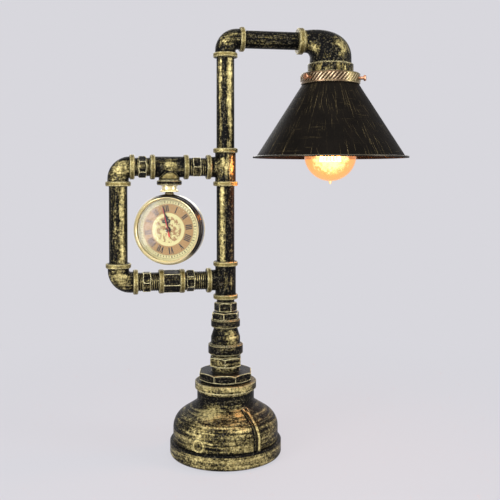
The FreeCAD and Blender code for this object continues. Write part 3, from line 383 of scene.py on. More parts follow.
def base_finish():
    """Casting brushed round and round: gold on ribs, rims and one shoulder, a painted highlight on the front
    of the shoulder, a painted shadow beside each rib, dark in its groove and neck.

    The ring's and the rib's paint repeat on the opposite side, where the casting has a rib and no ring.
    """
    recipe = Recipe("rubbed_base")
    place = recipe.mm()
    part = recipe.split(place)
    out = distance_to_axis(recipe, place, "upright", COLUMN_X)
    climb = recipe.less(part[2], recipe.times(out, 0.7))
    wrapped = recipe.join(recipe.times(part[0], 0.020), recipe.times(part[1], 0.020),
                          recipe.times(climb, 0.26))
    streaks = recipe.noise(wrapped, 1.0, 4.0, 0.65)
    high = part[2]
    level = recipe.step(high, 16.6, 17.8, 0.09, -0.45)
    level = recipe.add(level, recipe.step(high, 19.4, 20.4, 0.0, 0.50))
    level = recipe.add(level, recipe.step(high, 59.0, 64.0, 0.0, -0.13))
    level = recipe.add(level, recipe.step(high, 75.5, 77.0, 0.0, 0.16))
    spot = recipe.vector("DISTANCE", recipe.stretched(place, (1.0, 1.0, 1.7)), (-25.0, -36.0, 60.0 * 1.7))
    level = recipe.add(level, recipe.step(spot, 4.0, 21.0, 0.30, 0.0))
    # Painted highlight: gold is thickened on the front of the shoulder, where the light falls brightest
    lit = recipe.vector("DISTANCE", place, (10.0, -40.0, 62.0))
    level = recipe.add(level, recipe.step(lit, 3.0, 14.0, 0.20, 0.0))
    mark_swing = recipe.less(recipe.calc("ARCTAN2", part[1], part[0]), MARK_ANGLE)
    mark_swing = recipe.times(recipe.calc("SINE", mark_swing), out)
    mark = recipe.vector("LENGTH", recipe.join(mark_swing, recipe.less(high, MARK_HIGH), 0.0))
    ring = recipe.step(recipe.calc("ABSOLUTE", recipe.less(mark, 6.4)), 0.9, 1.7, 0.16, 0.0)
    level = recipe.add(level, recipe.add(ring, recipe.step(mark, 4.3, 5.4, -0.06, 0.0)))
    angle = recipe.less(recipe.calc("ARCTAN2", part[1], part[0]), RIB_ANGLE)
    swing = recipe.times(recipe.calc("SINE", angle), out)
    beside = recipe.calc("ABSOLUTE", recipe.add(swing, -0.4))
    rib = recipe.step(beside, 1.0, 1.8, 0.22, 0.0)
    strip = recipe.step(recipe.calc("ABSOLUTE", recipe.less(beside, 2.7)), 0.7, 1.2, 1.0, 0.0)
    rib = recipe.add(rib, recipe.times(strip, -0.30))
    shadow = recipe.step(recipe.calc("ABSOLUTE", recipe.add(swing, 4.0)), 1.5, 2.3, -0.90, 0.0)
    on_drum = recipe.times(recipe.step(high, 18.6, 19.6), recipe.step(high, 57.0, 62.0, 1.0, 0.0))
    level = recipe.add(level, recipe.times(recipe.add(rib, shadow), on_drum))
    rims = recipe.step(recipe.calc("ABSOLUTE", recipe.less(high, 18.7)), 1.2, 2.2)
    rims = recipe.times(rims, recipe.step(mark, 7.4, 8.4, 0.45, 1.0))
    rims = recipe.times(rims, recipe.step(recipe.times(strip, on_drum), 0.0, 1.0, 1.0, 0.15))
    relief = rubbed_gold(recipe, place, streaks, level, None, rims, side_shade=0.05)
    recipe.bump(relief, 0.0012, 0.7)
    return recipe.material


def shade_finish():
    """Satin black cone with thin gold scratches down its slope and a few fainter ones round it."""
    recipe = Recipe("scratched_shade", 0.5)
    recipe.shader.inputs["Specular IOR Level"].default_value = 0.03
    place = recipe.vector("SUBTRACT", recipe.mm(), (SHADE_X * 1000.0, 0.0, 0.0))
    part = recipe.split(place)
    angle = recipe.calc("ARCTAN2", part[1], part[0])
    down = recipe.noise(recipe.join(recipe.times(angle, 46.0), recipe.times(part[2], 0.020), 0.0),
                        1.0, 2.0, 0.7)
    lines = recipe.step(down, 0.60, 0.68)
    lean = recipe.add(recipe.times(angle, 40.0), recipe.times(part[2], 0.22))
    slanted = recipe.noise(recipe.join(lean, recipe.times(part[2], 0.03), 5.0), 1.0, 2.0, 0.7)
    slanted = recipe.step(slanted, 0.62, 0.68)
    lines = recipe.most(lines, recipe.times(slanted, 0.5))
    round_ = recipe.noise(recipe.join(recipe.times(angle, 1.1), recipe.times(part[2], 0.55), 9.0),
                          1.0, 2.0, 0.7)
    rings = recipe.step(round_, 0.64, 0.70)
    patch = recipe.step(recipe.noise(place, 0.022, 3.0), 0.34, 0.58)
    scratch = recipe.most(recipe.times(lines, patch), recipe.times(rings, 0.40))
    scratch = recipe.times(scratch, recipe.step(recipe.noise(place, 0.55, 3.0, 0.7), 0.36, 0.56))
    mottle = recipe.blend(recipe.noise(place, 0.05, 4.0), (0.002, 0.0018, 0.0015), (0.009, 0.007, 0.005))
    recipe.colour(recipe.blend(recipe.times(scratch, 0.50), mottle, (0.22, 0.168, 0.078)))
    recipe.roughness(recipe.step(recipe.noise(place, 0.5, 3.0), 0.3, 0.7, 0.46, 0.58))
    recipe.bump(recipe.add(recipe.times(recipe.noise(place, 0.9, 3.0), 0.5), scratch), 0.0002, 0.4)
    return recipe.material


def gallery_finish(name, hatch):
    """Antique copper brass with a painted shine on its edges; hatch adds the slanting knurl round the
    gallery's band, with painted highlights on its crests, a painted olive reflection on its right side and
    painted light that fades the knurl there.
    """
    recipe = Recipe(name, 0.32, 0.9)
    place = recipe.vector("SUBTRACT", recipe.mm(), (SHADE_X * 1000.0, 0.0, 0.0))
    part = recipe.split(place)
    tarnish = recipe.noise(place, 0.10, 4.0, 0.65)
    warm = recipe.blend(recipe.step(tarnish, 0.38, 0.62), (0.095, 0.068, 0.034), (0.165, 0.100, 0.056))
    dull = recipe.step(recipe.noise(place, 0.35, 4.0, 0.7), 0.45, 0.70)
    bright = recipe.blend(dull, warm, (0.10, 0.068, 0.034))
    height = recipe.noise(place, 0.8, 3.0)
    # Sharp edges get a painted shine
    shine = recipe.edges(0.0009)
    if hatch:
        # Painted reflection: the band turns olive toward its right side
        bright = recipe.blend(recipe.step(part[0], 2.0, 16.0), bright, (0.17, 0.135, 0.058))
        angle = recipe.calc("ARCTAN2", part[1], part[0])
        slant = recipe.add(recipe.times(angle, KNURL_TURNS), recipe.times(part[2], -KNURL_RISE))
        groove = recipe.calc("PINGPONG", slant, KNURL_HALF)
        middle = (SHADE_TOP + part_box("shade_gallery")[1][2]) * 500.0
        off = recipe.calc("ABSOLUTE", recipe.less(part[2], middle))
        # The knurl's cuts and crests fade to a quarter toward the right: painted light
        band = recipe.times(recipe.step(off, 4.1, 4.6, 1.0, 0.0), recipe.step(part[0], 6.0, 14.0, 1.0, 0.25))
        cut = recipe.times(recipe.step(groove, 0.60, 1.10, 1.0, 0.0), band)
        crest = recipe.times(recipe.step(groove, 1.60, 2.05), band)
        bright = recipe.blend(recipe.times(cut, 0.95), bright, (0.020, 0.012, 0.007))
        # Bright knurl crests are a painted highlight
        shine = recipe.most(shine, recipe.times(crest, recipe.step(tarnish, 0.36, 0.56)))
        height = recipe.less(recipe.times(height, 0.15), recipe.times(cut, 1.0))
    recipe.colour(recipe.blend(recipe.times(shine, 0.8), bright, (0.80, 0.62, 0.40)))
    recipe.roughness(recipe.step(tarnish, 0.3, 0.7, 0.42, 0.24))
    recipe.bump(height, 0.0005, 0.6)
    return recipe.material


def polished_gold(name="polished_gold", groove=False):
    """Polished gold plate with painted shade in its hollows; groove paints a dark reflection onto the flank
    of the bezel and case on their right and top.
    """
    recipe = Recipe(name, 0.10, 0.62)
    place = recipe.mm()
    gold = recipe.blend(recipe.noise(place, 0.08, 3.0), (0.80, 0.67, 0.34), (0.90, 0.79, 0.48))
    if groove:
        right, up, out = clock_axes()
        here = recipe.vector("SUBTRACT", place, (CLOCK_X * 1000.0, 0.0, CLOCK_Z * 1000.0))
        r = recipe.vector("LENGTH", recipe.join(recipe.vector("DOT_PRODUCT", here, tuple(right)),
                                                recipe.vector("DOT_PRODUCT", here, tuple(up)), 0.0))
        # Painted reflection: the flank outside the bezel's crest is blackened on its right and top
        side = recipe.vector("DOT_PRODUCT", here, tuple(right * 0.90 + up * 0.42))
        dark = recipe.times(recipe.step(r, BEZEL_CREST, BEZEL_CREST + 0.35), recipe.step(side, -6.0, 14.0))
        dark = recipe.times(dark, recipe.step(recipe.vector("DOT_PRODUCT", here, tuple(out)), -2.5, -0.5))
        gold = recipe.blend(dark, gold, (0.012, 0.009, 0.006))
    # Hollows are darkened to brown: painted shade
    recipe.colour(recipe.blend(recipe.hollows(0.004), gold, (0.10, 0.06, 0.025)))
    recipe.roughness(recipe.step(recipe.noise(place, 0.4, 4.0), 0.35, 0.75, 0.16, 0.26))
    recipe.bump(recipe.noise(place, 0.7, 2.0), 0.00005, 0.3)
    return recipe.material


def satin(name, low, high, roughness, metallic=0.0, grain=0.6, depth=0.0001):
    """Plain material with a little mottling and grain."""
    recipe = Recipe(name, roughness, metallic)
    place = recipe.mm()
    mottle = recipe.noise(place, 0.15, 4.0)
    recipe.colour(recipe.blend(mottle, low, high))
    recipe.roughness(recipe.step(mottle, 0.3, 0.7, roughness - 0.06, roughness + 0.06))
    recipe.bump(recipe.noise(place, grain, 3.0), depth, 0.4)
    return recipe.material


def clock_axes():
    """The dial's right, up and outward directions."""
    right = Vector((math.cos(CLOCK_TURN), math.sin(CLOCK_TURN), 0.0))
    out = Vector((math.sin(CLOCK_TURN), -math.cos(CLOCK_TURN), 0.0))
    up = Vector((0.0, 0.0, 1.0))
    return (right * math.cos(DIAL_ROLL) + up * math.sin(DIAL_ROLL),
            up * math.cos(DIAL_ROLL) - right * math.sin(DIAL_ROLL), out)


def dial_finish():
    """Cream minute track, tan numeral ring and a scrolled centre."""
    recipe = Recipe("printed_dial", 0.45, 0.0)
    right, up = clock_axes()[:2]
    place = recipe.vector("SUBTRACT", recipe.mm(), (CLOCK_X * 1000.0, 0.0, CLOCK_Z * 1000.0))
    x = recipe.vector("DOT_PRODUCT", place, tuple(right))
    y = recipe.vector("DOT_PRODUCT", place, tuple(up))
    flat = recipe.join(x, y, 0.0)
    r = recipe.vector("LENGTH", flat)
    paper = recipe.noise(flat, 0.35, 4.0)
    track = recipe.blend(paper, (0.56, 0.50, 0.22), (0.68, 0.62, 0.33))
    tan = recipe.blend(paper, (0.31, 0.175, 0.052), (0.40, 0.235, 0.082))
    cream = recipe.blend(paper, (0.60, 0.55, 0.23), (0.70, 0.65, 0.33))
    cloud = recipe.noise(flat, 0.20, 3.0, 0.6)
    curl = recipe.calc("SINE", recipe.add(recipe.times(recipe.noise(flat, 0.26, 2.0), 26.0), r))
    lace = recipe.step(recipe.noise(flat, 0.9, 2.0, 0.6), 0.50, 0.60)
    brown = recipe.most(recipe.step(cloud, 0.47, 0.55), recipe.times(lace,
                                                                     recipe.step(curl, 0.1, 0.6)))
    inside = recipe.step(r, 15.0, 16.2, 1.0, 0.0)
    centre = recipe.blend(recipe.times(recipe.times(brown, inside), 0.95), cream,
                          (0.30, 0.150, 0.045))
    made = recipe.blend(recipe.step(r, 18.2, 18.5), centre, cream)
    made = recipe.blend(recipe.step(r, 19.3, 19.6), made, tan)
    made = recipe.blend(recipe.step(r, 30.0, 30.3), made, track)
    recipe.colour(made)
    recipe.bump(recipe.noise(flat, 1.5, 3.0), 0.00005, 0.3)
    return recipe.material


def outer_shine(recipe, index):
    """Share of light that a glass wall throws back, on the side one meets from outside."""
    fresnel = recipe.node("ShaderNodeFresnel")
    fresnel.inputs["IOR"].default_value = index
    inside = recipe.node("ShaderNodeNewGeometry").outputs["Backfacing"]
    return recipe.times(fresnel.outputs[0], recipe.less(1.0, inside))


def clear(name, tint, shine, glow=None, strength=0.0, soft=0.03):
    """Thin glass: tinted clear with a glossy skin, and a glow of its own if it is lit."""
    recipe = Recipe(name)
    place = recipe.mm()
    see = recipe.node("ShaderNodeBsdfTransparent")
    haze = recipe.blend(recipe.noise(place, 0.05, 3.0), tuple(0.94 * v for v in tint), tint)
    recipe.put(see.inputs[0], haze)
    skin = recipe.node("ShaderNodeBsdfGlossy")
    skin.inputs["Roughness"].default_value = soft
    skin.inputs["Color"].default_value = (0.90, 0.87, 1.0, 1.0)
    mixed = recipe.node("ShaderNodeMixShader")
    recipe.put(mixed.inputs[0], outer_shine(recipe, shine))
    recipe.put(mixed.inputs[1], see.outputs[0])
    recipe.put(mixed.inputs[2], skin.outputs[0])
    last = mixed.outputs[0]
    if glow:
        light = recipe.node("ShaderNodeEmission")
        recipe.put(light.inputs[0], glow)
        recipe.put(light.inputs[1], strength)
        both = recipe.node("ShaderNodeAddShader")
        recipe.put(both.inputs[0], last)
        recipe.put(both.inputs[1], light.outputs[0])
        last = both.outputs[0]
    recipe.tree.nodes.remove(recipe.shader)
    recipe.put(recipe.surface, last)
    return recipe.material


def glowing(name, colour, strength):
    recipe = Recipe(name, 0.4, 0.0)
    place = recipe.mm()
    warm = recipe.blend(recipe.noise(place, 0.2, 2.0), tuple(0.8 * v for v in colour), colour)
    recipe.colour(warm)
    recipe.put(recipe.shader.inputs["Emission Color"], warm)
    recipe.put(recipe.shader.inputs["Emission Strength"], strength)
    return recipe.material


def add_piece(name, bm, body, material, smooth=False):
    """Turn a bmesh into a piece that rides on a body."""
    mesh = bpy.data.meshes.new(name)
    bmesh.ops.recalc_face_normals(bm, faces=bm.faces)
    bm.to_mesh(mesh)
    bm.free()
    for face in mesh.polygons:
        face.use_smooth = smooth
    piece = bpy.data.objects.new(name, mesh)
    bpy.context.scene.collection.objects.link(piece)
    mesh.materials.append(material)
    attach(piece, body)
    return piece


def slab(bm, outline, place, thickness):
    """Thin prism of a flat outline in millimetres, put in place by a matrix in metres."""
    low = [bm.verts.new(place @ Vector((x / 1000, y / 1000, 0.0))) for x, y in outline]
    high = [bm.verts.new(place @ Vector((x / 1000, y / 1000, thickness))) for x, y in outline]
    bm.faces.new(low)
    bm.faces.new(high)
    for i in range(len(outline)):
        j = (i + 1) % len(outline)
        bm.faces.new((low[i], low[j], high[j], high[i]))


def dial_place(angle, radius, lift):
    """Matrix of a spot on the dial: clockwise angle from twelve, radius and lift in metres."""
    right, up, out = clock_axes()
    turned_up = up * math.cos(angle) + right * math.sin(angle)
    turned_right = right * math.cos(angle) - up * math.sin(angle)
    front = dial_front()
    spot = front + turned_up * radius + out * lift
    return Matrix((
        (turned_right.x, turned_up.x, out.x, spot.x),
        (turned_right.y, turned_up.y, out.y, spot.y),
        (turned_right.z, turned_up.z, out.z, spot.z),
        (0, 0, 0, 1)))


def dial_front():
    """Middle of the dial's front face."""
    out = clock_axes()[2]
    centre = Vector((CLOCK_X, 0.0, CLOCK_Z))
    corners = [nodes["clock_dial"].data.vertices[i].co for i in range(len(nodes["clock_dial"].data.vertices))]
    return centre + out * max((corner - centre).dot(out) for corner in corners)


def bar(x0, x1, width):
    """Slanting stroke from x0 at the foot to x1 at the head."""
    h = NUMERAL_HIGH - NUMERAL_LOW
    return [(x0 - width / 2, 0), (x0 + width / 2, 0), (x1 + width / 2, h), (x1 - width / 2, h)]


def serif(x, y, width):
    return [(x - width / 2, y), (x + width / 2, y), (x + width / 2, y + SERIF), (x - width / 2, y + SERIF)]


def letter(kind, x):
    """Strokes of one letter whose middle is at x."""
    top = NUMERAL_HIGH - NUMERAL_LOW - SERIF
    if kind == "I":
        return [bar(x, x, STROKE_WIDE), serif(x, 0, 1.3), serif(x, top, 1.3)]
    if kind == "V":
        return [bar(x, x - 1.2, STROKE_WIDE), bar(x, x + 1.2, STROKE_THIN), serif(x - 1.2, top, 1.4),
                serif(x + 1.2, top, 1.2)]
    return [bar(x + 1.2, x - 1.2, STROKE_WIDE), bar(x - 1.2, x + 1.2, STROKE_THIN), serif(x - 1.2, 0, 1.2),
            serif(x + 1.2, 0, 1.4), serif(x - 1.2, top, 1.4), serif(x + 1.2, top, 1.2)]


def dial_numerals():
    bm = bmesh.new()
    for hour, word in enumerate(NUMERALS):
        place = dial_place(math.radians(30.0 * hour), NUMERAL_LOW / 1000, 0.00002)
        total = sum(LETTER_WIDTH[c] for c in word)
        x = -total / 2
        for kind in word:
            x += LETTER_WIDTH[kind] / 2
            for n, stroke in enumerate(letter(kind, x)):
                slab(bm, stroke, place, 0.00006 + 0.00001 * n)
            x += LETTER_WIDTH[kind] / 2
    add_piece("dial_numerals", bm, "clock", satin("dial_ink", (0.006, 0.006, 0.006), INK, 0.5))


def dial_track():
    """Sixty minute marks between two fine rings, with a dot at each five minutes."""
    bm = bmesh.new()
    for minute in range(60):
        five = minute % 5 == 0
        long_, wide = (2.7, 1.1) if five else (2.0, 0.8)
        place = dial_place(math.radians(6.0 * minute), 0.0311, 0.00002)
        slab(bm, [(-wide / 2, 0), (wide / 2, 0), (wide / 2, long_), (-wide / 2, long_)], place, 0.00005)
    for inner, outer in ((30.35, 30.6), (34.3, 34.55)):
        ring_on_dial(bm, inner, outer)
    marks = satin("track_ink", (0.06, 0.052, 0.018), (0.11, 0.095, 0.035), 0.5)
    add_piece("dial_minute_track", bm, "clock", marks)


def ring_on_dial(bm, inner, outer, steps=96):
    place = dial_place(0.0, 0.0, 0.00002)
    for i in range(steps):
        a, b = (2 * math.pi * k / steps for k in (i, i + 1))
        quad = [(outer * math.sin(a), outer * math.cos(a)), (outer * math.sin(b), outer * math.cos(b)),
                (inner * math.sin(b), inner * math.cos(b)), (inner * math.sin(a), inner * math.cos(a))]
        bm.faces.new([bm.verts.new(place @ Vector((x / 1000, y / 1000, 0.00003))) for x, y in quad])


def hour_loops():
    """The two open loops at the shoulder of the hour hand."""
    bm = bmesh.new()
    out = clock_axes()[2]
    front = dial_front()
    heights = [(vertex.co - front).dot(out) for vertex in nodes["hour_hand"].data.vertices]
    place = dial_place(math.radians(HOUR_AT), 0.0104, min(heights))
    for middle in (-2.5, 2.5):
        for i in range(28):
            a, b = (2 * math.pi * k / 28 for k in (i, i + 1))
            corners = ((1.25, a), (2.05, a), (2.05, b), (1.25, b))
            quad = [(middle + r * math.cos(t), r * math.sin(t)) for r, t in corners]
            slab(bm, quad, place, max(heights) - min(heights))
    bmesh.ops.remove_doubles(bm, verts=bm.verts, dist=1e-6)
    lacquer = satin("loop_lacquer", (0.006, 0.006, 0.007), (0.014, 0.014, 0.015), 0.35)
    add_piece("hour_hand_loops", bm, "hour", lacquer)


def hand_cap():
    """Small domed cap over the hands' arbor."""
    out = clock_axes()[2]
    front = dial_front()
    top = max((vertex.co - front).dot(out) for vertex in nodes["second_hand"].data.vertices)
    place = dial_place(0.0, 0.0, top - 0.0002)
    profile = [(1.7, 0.0), (1.7, 0.35), (1.4, 0.55), (0.8, 0.7)]
    around = 32
    bm = bmesh.new()
    rows = []
    for r, high in profile:
        turns = [2 * math.pi * j / around for j in range(around)]
        ring = [Vector((r * math.cos(t) / 1000, r * math.sin(t) / 1000, high / 1000)) for t in turns]
        rows.append([bm.verts.new(place @ spot) for spot in ring])
    for low, high in zip(rows, rows[1:]):
        for j in range(around):
            k = (j + 1) % around
            bm.faces.new((low[j], low[k], high[k], high[j]))
    bm.faces.new(rows[0])
    bm.faces.new(rows[-1])
    add_piece("hand_cap", bm, "second", polished_gold("cap_gold"))


def thread_spans(nipple, before, after, level):
    """Bare stretches of a nipple in metres, on both sides of its hexagon."""
    hexagon = [corner.co.x for corner in nodes[nipple].data.vertices
               if math.hypot(corner.co.y, corner.co.z - level) > 0.0112]
    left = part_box(before)[1][0]
    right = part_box(after)[0][0]
    spans = [(left, min(hexagon)), (max(hexagon), right)]
    return [(a + 0.0001, b - 0.0001) for a, b in spans if b - a > 0.0015]


def pipe_threads():
    """Thread ridges on the bare ends of the loop's four nipples."""
    around = 60
    for name, level, spans in (
            ("top_nipple_threads", TOP_Z, thread_spans("top_nipple_outer", "top_elbow", "clock_tee", TOP_Z)
             + thread_spans("top_nipple_inner", "clock_tee", "upper_tee", TOP_Z)),
            ("bottom_nipple_threads", BOTTOM_Z,
             thread_spans("bottom_nipple_outer", "bottom_elbow", "hex_coupling", BOTTOM_Z)
             + thread_spans("bottom_nipple_inner", "hex_coupling", "lower_tee", BOTTOM_Z))):
        bm = bmesh.new()
        for start, end in spans:
            steps = max(4, round((end - start) / (THREAD_PITCH / 6)))
            rows = []
            for i in range(steps + 1):
                x = start + (end - start) * i / steps
                row = []
                for j in range(around):
                    turn = (x / THREAD_PITCH - j / around) % 1.0
                    r = THREAD_ROOT + (THREAD_CREST - THREAD_ROOT) * (1.0 - abs(2.0 * turn - 1.0))
                    a = 2 * math.pi * j / around
                    row.append(bm.verts.new((x, r * math.cos(a), level + r * math.sin(a))))
                rows.append(row)
            for x, end_row in ((start, rows[0]), (end, rows[-1])):
                inner = [bm.verts.new((x, THREAD_BORE * math.cos(2 * math.pi * j / around),
                                       level + THREAD_BORE * math.sin(2 * math.pi * j / around)))
                         for j in range(around)]
                for j in range(around):
                    k = (j + 1) % around
                    bm.faces.new((end_row[j], end_row[k], inner[k], inner[j]))
                if end_row is rows[0]:
                    first = inner
                else:
                    for j in range(around):
                        k = (j + 1) % around
                        bm.faces.new((first[j], first[k], inner[k], inner[j]))
            for low, high in zip(rows, rows[1:]):
                for j in range(around):
                    k = (j + 1) % around
                    bm.faces.new((low[j], low[k], high[k], high[j]))
        finish = pipe_finish("rubbed_" + name, "x", 0.12, (("level", level),), crest=THREAD_CREST * 1000.0)
        add_piece(name, bm, "stand", finish)


def gallery_knurl(finish):
    """Slanting ridges rolled round the gallery's band, left out where the thumbscrews go through."""
    middle = (SHADE_TOP + Vector(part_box("shade_gallery")[1]).z) / 2
    centre = Vector((SHADE_X, 0.0, 0.0))
    radius = max(math.hypot(corner.co.x - centre.x, corner.co.y)
                 for corner in nodes["shade_gallery"].data.vertices if abs(corner.co.z - middle) < 0.006)
    screws = []
    for number in (1, 2, 3):
        box = [Vector(corner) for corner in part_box("thumbscrew_%d" % number)]
        at = (box[0] + box[1]) / 2 - centre
        screws.append(math.atan2(at.y, at.x))
    bm = bmesh.new()
    steps = 6
    reach = 0.0041
    for i in range(KNURL_COUNT):
        rows = []
        for k in range(steps + 1):
            z = middle + reach * (2 * k / steps - 1)
            angle = (KNURL_HALF + KNURL_STEP * i + KNURL_RISE * z * 1000.0) / KNURL_TURNS
            ends = 0.35 if k in (0, steps) else 1.0
            rows.append([(angle + side * 0.00085 / radius, radius + lift, z) for side, lift in
                         ((-1.0, -0.0004), (-0.35, 0.00040 * ends), (0.35, 0.00040 * ends), (1.0, -0.0004))])
        spot = rows[steps // 2][0][0]
        if min(abs(math.remainder(spot - screw, 2 * math.pi)) for screw in screws) < 0.17:
            continue
        made = [[bm.verts.new((centre.x + r * math.cos(a), r * math.sin(a), z)) for a, r, z in row]
                for row in rows]
        for one, two in zip(made, made[1:]):
            for n in range(4):
                m = (n + 1) % 4
                bm.faces.new((one[n], one[m], two[m], two[n]))
        bm.faces.new(made[0])
        bm.faces.new(made[-1])
    add_piece("gallery_knurl", bm, "head", finish)


def shade_bead():
    """Thin rolled edge of the shade's lip."""
    bm = bmesh.new()
    thick = 0.0011
    major = RIM_R - thick
    around = 128
    section = 10
    rows = []
    for i in range(around):
        a = 2 * math.pi * i / around
        row = []
        for j in range(section):
            b = 2 * math.pi * j / section
            r = major + thick * math.cos(b)
            row.append(bm.verts.new((SHADE_X + r * math.cos(a), r * math.sin(a),
                                     SHADE_LOW + thick + thick * math.sin(b))))
        rows.append(row)
    for i in range(around):
        for j in range(section):
            k = (i + 1) % around
            m = (j + 1) % section
            bm.faces.new((rows[i][j], rows[k][j], rows[k][m], rows[i][m]))
    edge = satin("shade_edge", (0.03, 0.026, 0.02), (0.09, 0.075, 0.045), 0.3, 0.6)
    add_piece("shade_rim_bead", bm, "head", edge, smooth=True)


def lit_glass():
    """Amber bulb glass: white-hot where one looks through its middle, peach toward its outline."""
    recipe = Recipe("lit_amber_glass")
    place = recipe.mm()
    see = recipe.node("ShaderNodeBsdfTransparent")
    tint = recipe.blend(recipe.noise(place, 0.05, 3.0), (1.0, 0.86, 0.66), (1.0, 0.78, 0.52))
    recipe.put(see.inputs[0], tint)
    skin = recipe.node("ShaderNodeBsdfGlossy")
    skin.inputs["Roughness"].default_value = 0.03
    mixed = recipe.node("ShaderNodeMixShader")
    recipe.put(mixed.inputs[0], outer_shine(recipe, 1.4))
    recipe.put(mixed.inputs[1], see.outputs[0])
    recipe.put(mixed.inputs[2], skin.outputs[0])
    facing = recipe.node("ShaderNodeLayerWeight")
    facing.inputs["Blend"].default_value = 0.5
    ripple = recipe.noise(place, 0.24, 4.0, 0.75)
    edge = recipe.add(facing.outputs["Facing"],
                      recipe.times(recipe.less(ripple, 0.5), 1.1))
    core = recipe.step(edge, 0.02, 0.40, 1.0, 0.0)
    light = recipe.node("ShaderNodeEmission")
    recipe.put(light.inputs[0], recipe.blend(core, (1.0, 0.47, 0.20), (1.0, 0.76, 0.40)))
    recipe.put(light.inputs[1], recipe.step(core, 0.0, 1.0, 0.17, 0.66))
    both = recipe.node("ShaderNodeAddShader")
    recipe.put(both.inputs[0], mixed.outputs[0])
    recipe.put(both.inputs[1], light.outputs[0])
    recipe.tree.nodes.remove(recipe.shader)
    recipe.put(recipe.surface, both.outputs[0])
    return recipe.material


def bulb_coil():
    """Looped filament of a vintage bulb: a ring of tall hairpins that spread toward the bottom."""
    low, high = (Vector(corner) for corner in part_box("bulb_filament"))
    curve = bpy.data.curves.new("filament_coil", "CURVE")
    curve.dimensions = "3D"
    curve.bevel_depth = 0.00045
    curve.bevel_resolution = 2
    pins = 9
    top_r = 0.0065
    low_r = (high.x - low.x) / 2 - 0.0005
    spline = curve.splines.new("POLY")
    points = []
    for i in range(pins):
        for k in range(2):
            a = 2 * math.pi * (i + 0.5 * k) / pins
            ends = ((top_r, high.z - 0.001), (low_r, low.z + 0.0008))
            for r, z in (ends if k == 0 else ends[::-1]):
                points.append((SHADE_X + r * math.cos(a), r * math.sin(a), z))
    spline.points.add(len(points) - 1)
    for point, co in zip(spline.points, points):
        point.co = (*co, 1.0)
    spline.use_cyclic_u = True
    coil = bpy.data.objects.new("filament_coil", curve)
    bpy.context.scene.collection.objects.link(coil)
    curve.materials.append(glowing("hot_wire", (1.0, 0.66, 0.28), 9.0))
    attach(coil, "bulb")
    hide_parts("bulb_filament")


